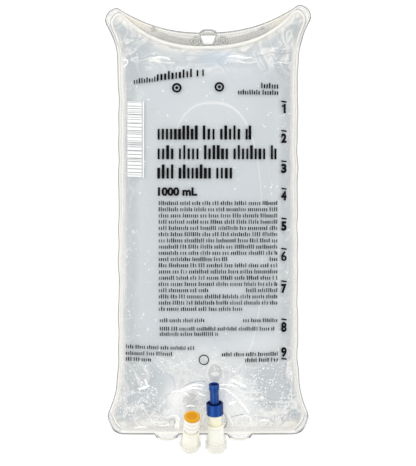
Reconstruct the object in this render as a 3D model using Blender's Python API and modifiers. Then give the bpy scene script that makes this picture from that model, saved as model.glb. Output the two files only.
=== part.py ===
"""A filled one-litre infusion bag, lying on its back with its two ports folded up over it.

Two clear PVC films are welded round the edge. The solution lies between them. At the bottom
each port tube sits in a sleeve of film, which folds up and back over the front of the bag.
Metres, +Z up. The bag's length runs along Y, its hanger slot is at +Y and its front faces +Z.
"""
import math
from collections import namedtuple

import bmesh
import bpy
from mathutils import Matrix, Vector

MM = 0.001

# Films, as they are cut flat. Y is counted from the middle of the bag
FLAT_WIDTH = 136.4 * MM
TOP_REACH = 146.6 * MM
BOTTOM_REACH = 136.6 * MM
TOP_CORNER_RADIUS = 8.5 * MM
BOTTOM_CORNER_RADIUS = 11.0 * MM
FILM_THICKNESS = 0.4 * MM
SIDE_WELD_WIDTH = 2.4 * MM
BOTTOM_WELD_WIDTH = 3.2 * MM
HANGER_FLAP_WIDTH = 10.2 * MM
HANGER_FLAP_REACH = 56.0 * MM
HANGER_TAB_HEIGHT = 2.1 * MM
HANGER_TAB_HALF_WIDTH = 5.0 * MM

# Hanger slot in the top flap, wider above than below
SLOT_TOP_WIDTH = 9.8 * MM
SLOT_BOTTOM_WIDTH = 5.6 * MM
SLOT_HEIGHT = 5.4 * MM
SLOT_BELOW_EDGE = 2.0 * MM

# Rounded lobes of the bottom weld, one on each side of the ports
LOBE_SPACING = 49.2 * MM
LOBE_HALF_WIDTH = 8.0 * MM
LOBE_DEPTH = 5.6 * MM

# Form of the filled bag
FILLED_HALF_DEPTH = 23.8 * MM
MIDDLE_HEIGHT = 20.6 * MM
TOP_DROP = 4.5 * MM
TOP_DROP_START = 85.0 * MM
BOTTOM_DROP = 8.6 * MM
BOTTOM_DROP_START = 85.0 * MM
CORNER_DROP = 8.0 * MM
CORNER_DROP_START = 75.0 * MM
SIDE_PULL = 0.132
BOTTOM_SIDE_PULL = 0.17
TOP_PULL_FADE = 13.0 * MM
BOTTOM_PULL_FADE = 14.0 * MM
BOTTOM_EAR_HEIGHT = 12.0 * MM
TOP_SAG = 17.6 * MM
TOP_SKEW = 1.2 * MM
TOP_SAG_FADE = 36.0 * MM
SIDE_POWER = 3.0
END_POWER = 4.3

# Curl of the bottom weld and the fold of the port sleeves
WELD_CURL = math.radians(25.0)
WELD_CURL_RADIUS = 5.0 * MM
SLEEVE_FOLD_RADIUS = 6.7 * MM
SLEEVE_LENGTH = 2.6 * MM
SLEEVE_WING = 1.5 * MM
SLEEVE_OPENING_POWER = 1.5
PORT_GROUP_X = -3.3 * MM
PORT_SPACING = 17.5 * MM

# Clearance between pieces that touch on the real bag
GAP = 0.3 * MM
CUT_MARGIN = 30.0 * MM

# Port tubes. Lengths run along each port's axis from the inner end of its tube
TUBE_COLLAR_RADIUS = 5.6 * MM
TUBE_RADIUS = 5.3 * MM
TUBE_LIP_RADIUS = 5.6 * MM
TUBE_LIP_LENGTH = 1.4 * MM
TUBE_BORE_RADIUS = 4.4 * MM

ADMINISTRATION_TUBE_LENGTH = 14.0 * MM
MEMBRANE_TUBE_START = 2.0 * MM
MEMBRANE_TUBE_END = 27.0 * MM
MEMBRANE_TUBE_WALL = 0.8 * MM
MEMBRANE_START = 11.0 * MM
MEMBRANE_THICKNESS = 0.6 * MM

PROTECTOR_SKIRT_RADIUS = 5.6 * MM
PROTECTOR_SKIRT_LENGTH = 7.9 * MM
PROTECTOR_ROOF = 0.9 * MM
PROTECTOR_GROOVE_RADIUS = 4.5 * MM
PROTECTOR_STEM_RADIUS = 3.15 * MM
PROTECTOR_STEM_LENGTH = 11.0 * MM
PROTECTOR_HEAD_RADIUS = 3.4 * MM
PROTECTOR_HEAD_LENGTH = 4.0 * MM
PROTECTOR_RECESS_RADIUS = 2.3 * MM
PROTECTOR_RECESS_DEPTH = 2.0 * MM

MEDICATION_TUBE_LENGTH = 12.6 * MM
BUSHING_START = 5.0 * MM
BUSHING_STEP = 2.6 * MM
BUSHING_COLLAR_LENGTH = 8.6 * MM
BUSHING_COLLAR_RADIUS = 5.15 * MM
BUSHING_RING_RADIUS = 5.35 * MM
BUSHING_RING_LENGTH = 1.6 * MM
BUSHING_BORE_RADIUS = 3.2 * MM
SEPTUM_RADIUS = 5.25 * MM
SEPTUM_THICKNESS = 1.8 * MM
SEPTUM_PLUG_LENGTH = 4.0 * MM
SEPTUM_RIM_WIDTH = 1.0 * MM
SEPTUM_RECESS_DEPTH = 0.4 * MM
SEPTUM_CHAMFER = 0.35 * MM

# Numbers of faces
TURNED_STEPS = 32
CHAMBER_ROWS = 20
FLAP_ROWS = 3
WELD_ROWS = 2
SLEEVE_ROWS = 10
OUTER_COLUMNS = 6
SLEEVE_HALF_COLUMNS = 4
LOBE_COLUMNS = 4

Port = namedtuple("Port", "across elevation lean reach")
ADMINISTRATION_PORT = Port(
    across=PORT_GROUP_X + PORT_SPACING / 2,
    elevation=math.radians(24.0),
    lean=math.radians(-2.0),
    reach=6.4 * MM,
)
MEDICATION_PORT = Port(
    across=PORT_GROUP_X - PORT_SPACING / 2,
    elevation=math.radians(42.0),
    lean=math.radians(3.0),
    reach=5.0 * MM,
)
PORTS = (MEDICATION_PORT, ADMINISTRATION_PORT)

HALF_WIDTH = FLAT_WIDTH / 2
CHAMBER_HALF_WIDTH = HALF_WIDTH - SIDE_WELD_WIDTH
SLEEVE_RADIUS = TUBE_COLLAR_RADIUS + GAP
FOLD_START = BOTTOM_REACH - BOTTOM_WELD_WIDTH


def smooth(t):
    """Ease from 0 to 1 as t goes from 0 to 1, level at both ends."""
    t = min(max(t, 0.0), 1.0)
    return t * t * (3.0 - 2.0 * t)


def arch(t, power=2.0):
    """Rise from 0 at t = -1 and 1 to 1 at t = 0, with round shoulders."""
    return math.sqrt(max(1.0 - abs(t) ** power, 0.0))


def corner_cut(u, radius):
    """How far a rounded corner takes the outline back at this place across the film."""
    past = abs(u) - (HALF_WIDTH - radius)
    if past <= 0.0:
        return 0.0
    return radius - math.sqrt(max(radius * radius - past * past, 0.0))


def top_edge(u):
    tab = HANGER_TAB_HEIGHT * arch(u / HANGER_TAB_HALF_WIDTH)
    return TOP_REACH - corner_cut(u, TOP_CORNER_RADIUS) + tab


def top_weld(u):
    flap = (HANGER_FLAP_WIDTH - SIDE_WELD_WIDTH) * max(1.0 - abs(u / HANGER_FLAP_REACH) ** 3.2, 0.0)
    return TOP_REACH - corner_cut(u, TOP_CORNER_RADIUS) - SIDE_WELD_WIDTH - flap


def bottom_weld(u):
    return corner_cut(u, BOTTOM_CORNER_RADIUS) - FOLD_START


def bottom_edge(u):
    from_lobe = abs(u - PORT_GROUP_X) - LOBE_SPACING / 2
    lobe = LOBE_DEPTH * arch(from_lobe / LOBE_HALF_WIDTH)
    return bottom_weld(u) - BOTTOM_WELD_WIDTH - lobe


def side_pull(v):
    """How far the filling draws the sides in: full along the bag, least at its corners."""
    if v > 0.0:
        from_ear = TOP_REACH - TOP_CORNER_RADIUS - v
        return 1.0 - math.exp(-(max(from_ear, 0.0) / TOP_PULL_FADE) ** 1.3)
    from_ear = BOTTOM_REACH - BOTTOM_EAR_HEIGHT + v
    fade = 1.0 - math.exp(-(max(from_ear, 0.0) / BOTTOM_PULL_FADE) ** 1.3)
    return BOTTOM_SIDE_PULL + (1.0 - BOTTOM_SIDE_PULL) * fade


def top_sag(u, v):
    """How far the top is drawn down between its corners, of which the right one is higher."""
    across = max(1.0 - abs(u / (HALF_WIDTH - TOP_CORNER_RADIUS)) ** 2.3, 0.0)
    skew = TOP_SKEW * u / HALF_WIDTH * smooth(v / TOP_REACH)
    return TOP_SAG * across * math.exp(-((TOP_REACH - v) / TOP_SAG_FADE) ** 2) - skew


def middle_height(u, v):
    """Height of the surface midway between the films."""
    top = TOP_DROP * smooth((v - TOP_DROP_START) / (TOP_REACH - TOP_DROP_START))
    bottom = BOTTOM_DROP * smooth((-v - BOTTOM_DROP_START) / (FOLD_START - BOTTOM_DROP_START))
    corner = smooth((abs(v) - CORNER_DROP_START) / (BOTTOM_REACH - CORNER_DROP_START))
    corner *= CORNER_DROP * abs(u / HALF_WIDTH) ** 2.5
    return MIDDLE_HEIGHT - top - bottom - corner


def half_depth(u, v, inset=0.0):
    """Half the distance between the films, less an inset all round."""
    upper = top_weld(u) - inset
    lower = bottom_weld(u) + inset
    along = (2.0 * v - upper - lower) / (upper - lower)
    across = u / (CHAMBER_HALF_WIDTH - inset)
    return (FILLED_HALF_DEPTH - inset) * arch(across, SIDE_POWER) * arch(along, END_POWER)


def curl(start, along, turn, radius):
    """Follow an upward curl from a start point: the point reached and the film's tilt there."""
    angle = min(along / radius, turn)
    straight = max(along - radius * turn, 0.0)
    y = start.y - radius * math.sin(angle) - straight * math.cos(angle)
    z = start.z + radius * (1.0 - math.cos(angle)) + straight * math.sin(angle)
    return Vector((start.x, y, z)), angle


def sheet_frame(u, v):
    """Point midway between the films, and the direction out of the front film."""
    x = u * (1.0 - SIDE_PULL * side_pull(v))
    flat = max(v, bottom_weld(u))
    point = Vector((x, flat - top_sag(u, v), middle_height(u, flat)))
    point, angle = curl(point, flat - v, WELD_CURL, WELD_CURL_RADIUS)
    return point, Vector((0.0, math.sin(angle), math.cos(angle)))


def sleeve_lengths(port):
    """Turn of a sleeve's fold, and the length of film up to its inner end."""
    turn = math.pi - port.elevation - WELD_CURL
    return turn, port.reach + SLEEVE_FOLD_RADIUS * turn


def sleeve_frame(port, u, along):
    """The same as sheet_frame, on the tongue of film that carries a port."""
    start, out = sheet_frame(u, bottom_edge(port.across))
    turn, folded = sleeve_lengths(port)
    reached = min(along, port.reach)
    angle = WELD_CURL + min(max(along - reached, 0.0) / SLEEVE_FOLD_RADIUS, turn)
    straight = max(along - folded, 0.0)
    y = start.y - reached * math.cos(WELD_CURL)
    y -= SLEEVE_FOLD_RADIUS * (math.sin(angle) - math.sin(WELD_CURL)) + straight * math.cos(angle)
    z = start.z + reached * math.sin(WELD_CURL)
    z += SLEEVE_FOLD_RADIUS * (math.cos(WELD_CURL) - math.cos(angle)) + straight * math.sin(angle)
    x = start.x + straight * math.tan(port.lean)
    return Vector((x, y, z)), Vector((0.0, math.sin(angle), math.cos(angle)))


def port_matrix(port):
    """Place of a port's tube: its inner end, with local Z along its axis."""
    folded = sleeve_lengths(port)[1]
    base = sleeve_frame(port, port.across, folded)[0]
    end = sleeve_frame(port, port.across, folded + SLEEVE_LENGTH)[0]
    return Matrix.Translation(base) @ (end - base).to_track_quat("Z", "Y").to_matrix().to_4x4()


def columns():
    """Places across the film, closest together where it bends round the port tubes."""
    half_steps = range(-SLEEVE_HALF_COLUMNS, SLEEVE_HALF_COLUMNS + 1)
    round_tube = [SLEEVE_RADIUS * math.sin(math.pi / 2 * k / SLEEVE_HALF_COLUMNS) for k in half_steps]
    tongue = [-SLEEVE_RADIUS - SLEEVE_WING] + round_tube + [SLEEVE_RADIUS + SLEEVE_WING]
    places = [port.across + q for port in PORTS for q in tongue]
    for side in (-1, 1):
        lobe = PORT_GROUP_X + side * LOBE_SPACING / 2
        for k in range(LOBE_COLUMNS + 1):
            places.append(lobe - LOBE_HALF_WIDTH * math.cos(math.pi * k / LOBE_COLUMNS))
        inner = lobe + side * LOBE_HALF_WIDTH
        outer = side * CHAMBER_HALF_WIDTH
        for k in range(1, OUTER_COLUMNS + 1):
            places.append(inner + (outer - inner) * math.sin(math.pi / 2 * k / OUTER_COLUMNS))
        places.append(side * (HALF_WIDTH - SIDE_WELD_WIDTH / 3))
        places.append(side * HALF_WIDTH)
    return sorted(places)


def chamber_rows(upper, lower):
    """Places along the chamber from bottom to top, closest together at its ends."""
    steps = range(CHAMBER_ROWS + 1)
    share = [0.5 - 0.5 * math.cos(math.pi * k / CHAMBER_ROWS) for k in steps]
    return [lower + (upper - lower) * t for t in share]


def sheet_rows(u):
    """Places along one column of film, from its bottom edge to its top edge."""
    weld = [bottom_edge(u) + (bottom_weld(u) - bottom_edge(u)) * k / WELD_ROWS for k in range(WELD_ROWS)]
    flap = [top_weld(u) + (top_edge(u) - top_weld(u)) * k / FLAP_ROWS for k in range(1, FLAP_ROWS + 1)]
    return weld + chamber_rows(top_weld(u), bottom_weld(u)) + flap


def add_formed_grid(bm, columns_count, rows_count, place, flip=False):
    """Add a flat grid of faces and move each of its corners to place(column, row)."""
    made = bmesh.ops.create_grid(bm, x_segments=columns_count, y_segments=rows_count, size=1.0)
    for vert in made["verts"]:
        column = round((vert.co.x + 1.0) / 2.0 * columns_count)
        row = round((vert.co.y + 1.0) / 2.0 * rows_count)
        vert.co = place(column, row)
    if flip:
        faces = {face for vert in made["verts"] for face in vert.link_faces}
        bmesh.ops.reverse_faces(bm, faces=list(faces))


def film_point(u, v, side):
    """Point on the inner side of a film: side is 1 for the front and -1 for the back."""
    middle, out = sheet_frame(u, v)
    point = middle + out * side * (half_depth(u, v) + GAP / 2)
    point.z = max(point.z, FILM_THICKNESS)
    return point


def sleeve_point(port, u, along, side):
    """Point on the inner side of a film where it wraps a port tube."""
    folded = sleeve_lengths(port)[1]
    opened = smooth((along - port.reach) / (folded - port.reach)) ** SLEEVE_OPENING_POWER
    middle, out = sleeve_frame(port, u, along)
    depth = SLEEVE_RADIUS * arch((u - port.across) / SLEEVE_RADIUS) * opened
    return middle + out * side * (depth + GAP / 2)


def add_film(name, side, material, collection):
    """One sheet of film with a tongue for each port, thickened on its outer side."""
    across = columns()
    along = [sheet_rows(u) for u in across]
    bm = bmesh.new()
    add_formed_grid(
        bm,
        len(across) - 1,
        len(along[0]) - 1,
        lambda i, j: film_point(across[i], along[i][j], side),
        flip=side < 0,
    )
    for port in PORTS:
        wide = SLEEVE_RADIUS + SLEEVE_WING + GAP / 2
        tongue = [u for u in across if abs(u - port.across) < wide]
        length = sleeve_lengths(port)[1] + SLEEVE_LENGTH

        def place(i, j):
            if j == SLEEVE_ROWS:
                return film_point(tongue[i], bottom_edge(tongue[i]), side)
            return sleeve_point(port, tongue[i], length * (1.0 - j / SLEEVE_ROWS), side)

        add_formed_grid(bm, len(tongue) - 1, SLEEVE_ROWS, place, flip=side < 0)
    bmesh.ops.remove_doubles(bm, verts=bm.verts, dist=GAP / 10)
    film = mesh_object(name, bm, material, collection)
    shell = film.modifiers.new("film thickness", "SOLIDIFY")
    shell.thickness = FILM_THICKNESS
    shell.offset = 1.0
    shell.use_even_offset = True
    return film


def add_fluid(name, material, collection):
    """The solution: one closed body just inside both films."""
    inset = 2 * GAP
    limit = CHAMBER_HALF_WIDTH - inset
    across = [-limit] + [u for u in columns() if abs(u) < limit] + [limit]
    along = [chamber_rows(top_weld(u) - inset, bottom_weld(u) + inset) for u in across]
    bm = bmesh.new()
    for side in (1, -1):

        def place(i, j):
            u = across[i]
            v = along[i][j]
            middle, out = sheet_frame(u, v)
            rim = i in (0, len(across) - 1) or j in (0, CHAMBER_ROWS)
            point = middle + out * side * (0.0 if rim else half_depth(u, v, inset) - GAP / 2)
            point.z = max(point.z, FILM_THICKNESS + GAP)
            return point

        add_formed_grid(bm, len(across) - 1, CHAMBER_ROWS, place, flip=side < 0)
    bmesh.ops.remove_doubles(bm, verts=bm.verts, dist=GAP / 10)
    return mesh_object(name, bm, material, collection)


def mesh_object(name, bm, material, collection):
    mesh = bpy.data.meshes.new(name)
    bm.to_mesh(mesh)
    bm.free()
    mesh.materials.append(material)
    mesh.shade_smooth()
    made = bpy.data.objects.new(name, mesh)
    collection.objects.link(made)
    return made


def add_slot_cutter(collection):
    """Wedge-sided prism that stands through the top flap where the hanger slot is."""
    top = top_edge(0.0) - HANGER_TAB_HEIGHT
    upper = top - top_sag(0.0, top) - SLOT_BELOW_EDGE
    lower = upper - SLOT_HEIGHT
    curve = bpy.data.curves.new("hanger_slot_cutter", "CURVE")
    curve.dimensions = "2D"
    curve.fill_mode = "BOTH"
    curve.extrude = CUT_MARGIN
    spline = curve.splines.new("POLY")
    spline.points.add(3)
    corners = (
        (-SLOT_TOP_WIDTH / 2, upper),
        (SLOT_TOP_WIDTH / 2, upper),
        (SLOT_BOTTOM_WIDTH / 2, lower),
        (-SLOT_BOTTOM_WIDTH / 2, lower),
    )
    for point, (x, y) in zip(spline.points, corners):
        point.co = (x, y, 0.0, 1.0)
    spline.use_cyclic_u = True
    outline = bpy.data.objects.new("hanger_slot_outline", curve)
    collection.objects.link(outline)
    graph = bpy.context.evaluated_depsgraph_get()
    mesh = bpy.data.meshes.new_from_object(outline.evaluated_get(graph))
    bm = bmesh.new()
    bm.from_mesh(mesh)
    bmesh.ops.remove_doubles(bm, verts=bm.verts, dist=GAP / 10)
    bmesh.ops.recalc_face_normals(bm, faces=bm.faces)
    bm.to_mesh(mesh)
    bm.free()
    cutter = bpy.data.objects.new("hanger_slot_cutter", mesh)
    collection.objects.link(cutter)
    bpy.data.objects.remove(outline)
    cutter.hide_render = True
    cutter.display_type = "WIRE"
    return cutter


def cut(target, cutter):
    hole = target.modifiers.new("hanger slot", "BOOLEAN")
    hole.operation = "DIFFERENCE"
    hole.solver = "EXACT"
    hole.object = cutter


def add_turned(name, profile, closed, port, material, collection):
    """A round piece: its half section turned about the port's axis."""
    mesh = bpy.data.meshes.new(name)
    verts = [(radius, 0.0, height) for radius, height in profile]
    edges = [(i, i + 1) for i in range(len(verts) - 1)]
    if closed:
        edges.append((len(verts) - 1, 0))
    mesh.from_pydata(verts, edges, [])
    mesh.materials.append(material)
    made = bpy.data.objects.new(name, mesh)
    made.matrix_world = port_matrix(port)
    collection.objects.link(made)
    screw = made.modifiers.new("turned", "SCREW")
    screw.steps = TURNED_STEPS
    screw.render_steps = TURNED_STEPS
    screw.use_merge_vertices = True
    screw.merge_threshold = GAP / 30
    screw.use_smooth_shade = False
    return made


def tube_profile(length):
    """Port tube: a collar inside its sleeve, a plain wall, a lip at its mouth, and a bore."""
    return [
        (TUBE_LIP_RADIUS, length),
        (TUBE_LIP_RADIUS, length - TUBE_LIP_LENGTH),
        (TUBE_RADIUS, length - TUBE_LIP_LENGTH - (TUBE_LIP_RADIUS - TUBE_RADIUS)),
        (TUBE_RADIUS, SLEEVE_LENGTH + (TUBE_COLLAR_RADIUS - TUBE_RADIUS)),
        (TUBE_COLLAR_RADIUS, SLEEVE_LENGTH),
        (TUBE_COLLAR_RADIUS, 0.0),
        (TUBE_BORE_RADIUS, 0.0),
        (TUBE_BORE_RADIUS, length),
    ]


def membrane_tube_profile():
    """Tube that takes the spike, closed part way down by its thin membrane."""
    outer = TUBE_BORE_RADIUS - GAP
    inner = outer - MEMBRANE_TUBE_WALL
    return [
        (0.0, MEMBRANE_START + MEMBRANE_THICKNESS),
        (inner, MEMBRANE_START + MEMBRANE_THICKNESS),
        (inner, MEMBRANE_TUBE_END),
        (outer, MEMBRANE_TUBE_END),
        (outer, MEMBRANE_TUBE_START),
        (inner, MEMBRANE_TUBE_START),
        (inner, MEMBRANE_START),
        (0.0, MEMBRANE_START),
    ]


def protector_profile():
    """Pull-off cap: a skirt over the membrane tube, a stem and a grip head, moulded in one."""
    bore = TUBE_BORE_RADIUS
    under_roof = MEMBRANE_TUBE_END + GAP
    floor = under_roof + PROTECTOR_ROOF
    skirt_top = floor + PROTECTOR_GROOVE_RADIUS - PROTECTOR_STEM_RADIUS
    skirt_foot = skirt_top - PROTECTOR_SKIRT_LENGTH
    head_foot = floor + PROTECTOR_STEM_LENGTH
    head_top = head_foot + PROTECTOR_HEAD_LENGTH
    return [
        (0.0, head_top - PROTECTOR_RECESS_DEPTH),
        (PROTECTOR_RECESS_RADIUS, head_top - PROTECTOR_RECESS_DEPTH),
        (PROTECTOR_RECESS_RADIUS, head_top),
        (PROTECTOR_HEAD_RADIUS, head_top),
        (PROTECTOR_HEAD_RADIUS, head_foot),
        (PROTECTOR_STEM_RADIUS, head_foot),
        (PROTECTOR_STEM_RADIUS, floor),
        (PROTECTOR_GROOVE_RADIUS, floor),
        (PROTECTOR_GROOVE_RADIUS, skirt_top),
        (PROTECTOR_SKIRT_RADIUS, skirt_top),
        (PROTECTOR_SKIRT_RADIUS, skirt_foot),
        (bore, skirt_foot),
        (bore, under_roof),
        (0.0, under_roof),
    ]


def bushing_profile():
    """White bushing: its stem fits in the port tube and its collar carries the septum."""
    stem = TUBE_BORE_RADIUS - GAP
    collar_foot = MEDICATION_TUBE_LENGTH + BUSHING_STEP
    collar_top = collar_foot + BUSHING_COLLAR_LENGTH
    return [
        (BUSHING_BORE_RADIUS, collar_top),
        (BUSHING_COLLAR_RADIUS, collar_top),
        (BUSHING_COLLAR_RADIUS, collar_foot + BUSHING_RING_LENGTH + GAP),
        (BUSHING_RING_RADIUS, collar_foot + BUSHING_RING_LENGTH),
        (BUSHING_RING_RADIUS, collar_foot + GAP),
        (stem, collar_foot),
        (stem, BUSHING_START),
        (BUSHING_BORE_RADIUS, BUSHING_START),
    ]


def septum_profile():
    """Rubber septum: a round cap with a raised rim, and a plug in the bushing's bore."""
    foot = MEDICATION_TUBE_LENGTH + BUSHING_STEP + BUSHING_COLLAR_LENGTH + GAP
    top = foot + SEPTUM_THICKNESS
    disc = SEPTUM_RADIUS - SEPTUM_RIM_WIDTH
    plug = BUSHING_BORE_RADIUS - GAP
    return [
        (0.0, top - SEPTUM_RECESS_DEPTH),
        (disc - SEPTUM_CHAMFER, top - SEPTUM_RECESS_DEPTH),
        (disc, top),
        (SEPTUM_RADIUS - SEPTUM_CHAMFER, top),
        (SEPTUM_RADIUS, top - SEPTUM_CHAMFER),
        (SEPTUM_RADIUS, foot),
        (plug, foot),
        (plug, foot - SEPTUM_PLUG_LENGTH),
        (0.0, foot - SEPTUM_PLUG_LENGTH),
    ]


def make_material(name, colour, roughness, alpha=1.0):
    material = bpy.data.materials.new(name)
    material.use_nodes = True
    shader = material.node_tree.nodes["Principled BSDF"]
    shader.inputs["Base Color"].default_value = (*colour, 1.0)
    shader.inputs["Roughness"].default_value = roughness
    shader.inputs["Metallic"].default_value = 0.0
    shader.inputs["Alpha"].default_value = alpha
    material.diffuse_color = (*colour, alpha)
    return material


def new_collection(name):
    collection = bpy.data.collections.new(name)
    bpy.context.scene.collection.children.link(collection)
    return collection


def centre_on_floor(objects, cutters):
    """Move the whole bag, and its cutters, so that its box stands centred over the origin."""
    bpy.context.view_layer.update()
    graph = bpy.context.evaluated_depsgraph_get()
    corners = []
    for item in objects:
        shape = item.evaluated_get(graph)
        corners += [item.matrix_world @ Vector(corner) for corner in shape.bound_box]
    low = [min(corner[k] for corner in corners) for k in range(3)]
    high = [max(corner[k] for corner in corners) for k in range(3)]
    shift = Vector(((low[0] + high[0]) / 2, (low[1] + high[1]) / 2, low[2]))
    for item in objects + cutters:
        item.location -= shift


def build():
    for old in list(bpy.data.objects):
        bpy.data.objects.remove(old)
    bag = new_collection("infusion_bag")
    cutters = new_collection("cutters")
    film = make_material("clear film", (0.86, 0.88, 0.90), 0.15, alpha=0.35)
    solution = make_material("solution", (0.70, 0.76, 0.82), 0.05, alpha=0.6)
    tube = make_material("port tube", (0.86, 0.85, 0.76), 0.3)
    white = make_material("bushing", (0.90, 0.88, 0.82), 0.35)
    rubber = make_material("septum rubber", (0.78, 0.40, 0.03), 0.5)
    blue = make_material("protector", (0.01, 0.08, 0.40), 0.3)

    front = add_film("front_film", 1, film, bag)
    back = add_film("back_film", -1, film, bag)
    slot = add_slot_cutter(cutters)
    cut(front, slot)
    cut(back, slot)
    add_fluid("solution_fill", solution, bag)
    for name, length, port in (
        ("administration_port_tube", ADMINISTRATION_TUBE_LENGTH, ADMINISTRATION_PORT),
        ("medication_port_tube", MEDICATION_TUBE_LENGTH, MEDICATION_PORT),
    ):
        add_turned(name, tube_profile(length), True, port, tube, bag)
    add_turned("membrane_tube", membrane_tube_profile(), False, ADMINISTRATION_PORT, tube, bag)
    add_turned("port_protector", protector_profile(), False, ADMINISTRATION_PORT, blue, bag)
    add_turned("septum_bushing", bushing_profile(), True, MEDICATION_PORT, white, bag)
    add_turned("injection_septum", septum_profile(), False, MEDICATION_PORT, rubber, bag)
    centre_on_floor(list(bag.objects), list(cutters.objects))


build()
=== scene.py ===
"""Finish of the filled infusion bag: clear films, solution, ports, bubbles and print."""
import math

import bmesh
import bpy
import numpy as np
from mathutils import Matrix, Vector
from mathutils.bvhtree import BVHTree


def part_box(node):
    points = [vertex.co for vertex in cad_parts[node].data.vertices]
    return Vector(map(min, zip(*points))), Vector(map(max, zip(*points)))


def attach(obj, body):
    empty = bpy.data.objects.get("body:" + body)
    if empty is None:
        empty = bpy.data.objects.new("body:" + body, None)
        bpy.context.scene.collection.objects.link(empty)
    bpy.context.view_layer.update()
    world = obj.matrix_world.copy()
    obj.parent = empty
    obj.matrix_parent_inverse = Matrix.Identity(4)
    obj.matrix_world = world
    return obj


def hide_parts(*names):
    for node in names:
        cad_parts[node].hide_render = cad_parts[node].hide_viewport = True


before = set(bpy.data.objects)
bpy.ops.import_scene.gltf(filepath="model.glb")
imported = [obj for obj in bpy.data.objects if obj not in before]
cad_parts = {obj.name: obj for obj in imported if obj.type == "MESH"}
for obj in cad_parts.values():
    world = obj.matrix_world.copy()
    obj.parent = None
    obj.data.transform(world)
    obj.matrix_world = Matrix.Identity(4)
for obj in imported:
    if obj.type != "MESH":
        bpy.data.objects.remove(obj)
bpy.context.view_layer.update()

scene = bpy.context.scene
MM = 0.001


# Studio: a pale floor that the bag lies on, seen from straight above through a long lens, with
# large soft lamps on the left, the right and beyond the top. None of it is part of the bag.
# Nodes are written as sums. A Value wraps a socket, and each operator on it adds a Math node.
class Value:
    def __init__(self, nodes, socket):
        self.nodes = nodes
        self.socket = socket

    def math(self, operation, *others):
        inputs = dict(enumerate((self, *others)))
        return self.nodes.add("ShaderNodeMath", {"operation": operation}, inputs)

    def __add__(self, other):
        return self.math("ADD", other)

    def __sub__(self, other):
        return self.math("SUBTRACT", other)

    def __mul__(self, other):
        return self.math("MULTIPLY", other)

    def __truediv__(self, other):
        return self.math("DIVIDE", other)

    def __pow__(self, other):
        return self.math("POWER", other)

    def __rsub__(self, other):
        return self.nodes.add("ShaderNodeMath", {"operation": "SUBTRACT"}, {0: other, 1: self})

    __radd__ = __add__
    __rmul__ = __mul__

    def clamped(self):
        return self.math("MAXIMUM", 0.0).math("MINIMUM", 1.0)

    def part(self, name):
        """One coordinate of a vector."""
        return self.nodes.add("ShaderNodeSeparateXYZ", {}, {0: self}, name)


class Nodes:
    def __init__(self, tree):
        self.tree = tree

    def add(self, kind, settings, inputs, output=0):
        """Add a node: its settings first, then its inputs, by index or name, as links or values."""
        node = self.tree.nodes.new(kind)
        for name, setting in settings.items():
            if name == "stops":
                self.set_stops(node.color_ramp, setting)
            else:
                setattr(node, name, setting)
        for key, given in inputs.items():
            socket = node.inputs[key]
            if isinstance(given, Value):
                self.tree.links.new(given.socket, socket)
            else:
                socket.default_value = given
        return Value(self, node.outputs[output])

    def set_stops(self, ramp, stops):
        while len(ramp.elements) < len(stops):
            ramp.elements.new(1.0)
        for element, (place, level) in zip(ramp.elements, stops):
            element.position = place
            element.color = (*level, 1.0) if isinstance(level, tuple) else (level, level, level, 1.0)

    def noise(self, where, scale, detail=2.0, distortion=0.0):
        inputs = {"Vector": where, "Scale": scale, "Detail": detail, "Distortion": distortion}
        return self.add("ShaderNodeTexNoise", {}, inputs, "Fac")

    def ramp(self, value, *stops):
        return self.add("ShaderNodeValToRGB", {"stops": stops}, {"Fac": value}, "Color")

    def mix(self, amount, low, high):
        """Blend two colours."""
        low = low if isinstance(low, Value) else (*low, 1.0)
        high = high if isinstance(high, Value) else (*high, 1.0)
        settings = {"data_type": "RGBA"}
        return self.add("ShaderNodeMix", settings, {0: amount, 6: low, 7: high}, 2)

    def bump(self, height, distance, strength=1.0):
        inputs = {"Height": height, "Distance": distance, "Strength": strength}
        return self.add("ShaderNodeBump", {}, inputs, "Normal")


def new_material(name):
    """A material with only its output: the nodes, the shader and the object's own coordinates."""
    material = bpy.data.materials.new(name)
    material.use_nodes = True
    nodes = Nodes(material.node_tree)
    place = nodes.add("ShaderNodeTexCoord", {}, {}, "Object")
    return material, nodes, material.node_tree.nodes["Principled BSDF"], place


def feed(nodes, shader, **inputs):
    """Set the shader's inputs: underscores stand for the spaces in their names."""
    for name, given in inputs.items():
        socket = shader.inputs[name.replace("_", " ")]
        if isinstance(given, Value):
            nodes.tree.links.new(given.socket, socket)
        else:
            socket.default_value = given


PHOTO_WIDTH = 416
PHOTO_HEIGHT = 466
PHOTO_SCALE = 0.66 * MM
PHOTO_MIDDLE = (208.1, 229.45)
CAMERA_HEIGHT = 5.0
SCALE_HEIGHT = 20 * MM
FLOOR_SIZE = 6.0


def from_photo(px, py):
    """Place on the bag, seen from above, of a pixel of the photograph."""
    x, y = PHOTO_MIDDLE
    return (px - x) * PHOTO_SCALE, (y - py) * PHOTO_SCALE


def add_camera():
    data = bpy.data.cameras.new("camera")
    data.sensor_fit = "VERTICAL"
    data.lens = data.sensor_height * (CAMERA_HEIGHT - SCALE_HEIGHT) / (PHOTO_HEIGHT * PHOTO_SCALE)
    camera = bpy.data.objects.new("camera", data)
    camera.location = (*from_photo(PHOTO_WIDTH / 2, PHOTO_HEIGHT / 2), CAMERA_HEIGHT)
    scene.collection.objects.link(camera)
    scene.camera = camera


def seen_background(nodes):
    """1 where the camera, a reflection or a view through the films meets the background."""
    path = nodes.tree.nodes.new("ShaderNodeLightPath")
    seen = Value(nodes, path.outputs["Is Camera Ray"])
    for ray in ("Is Glossy Ray", "Is Transmission Ray"):
        seen = seen.math("MAXIMUM", Value(nodes, path.outputs[ray]))
    return seen


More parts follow.
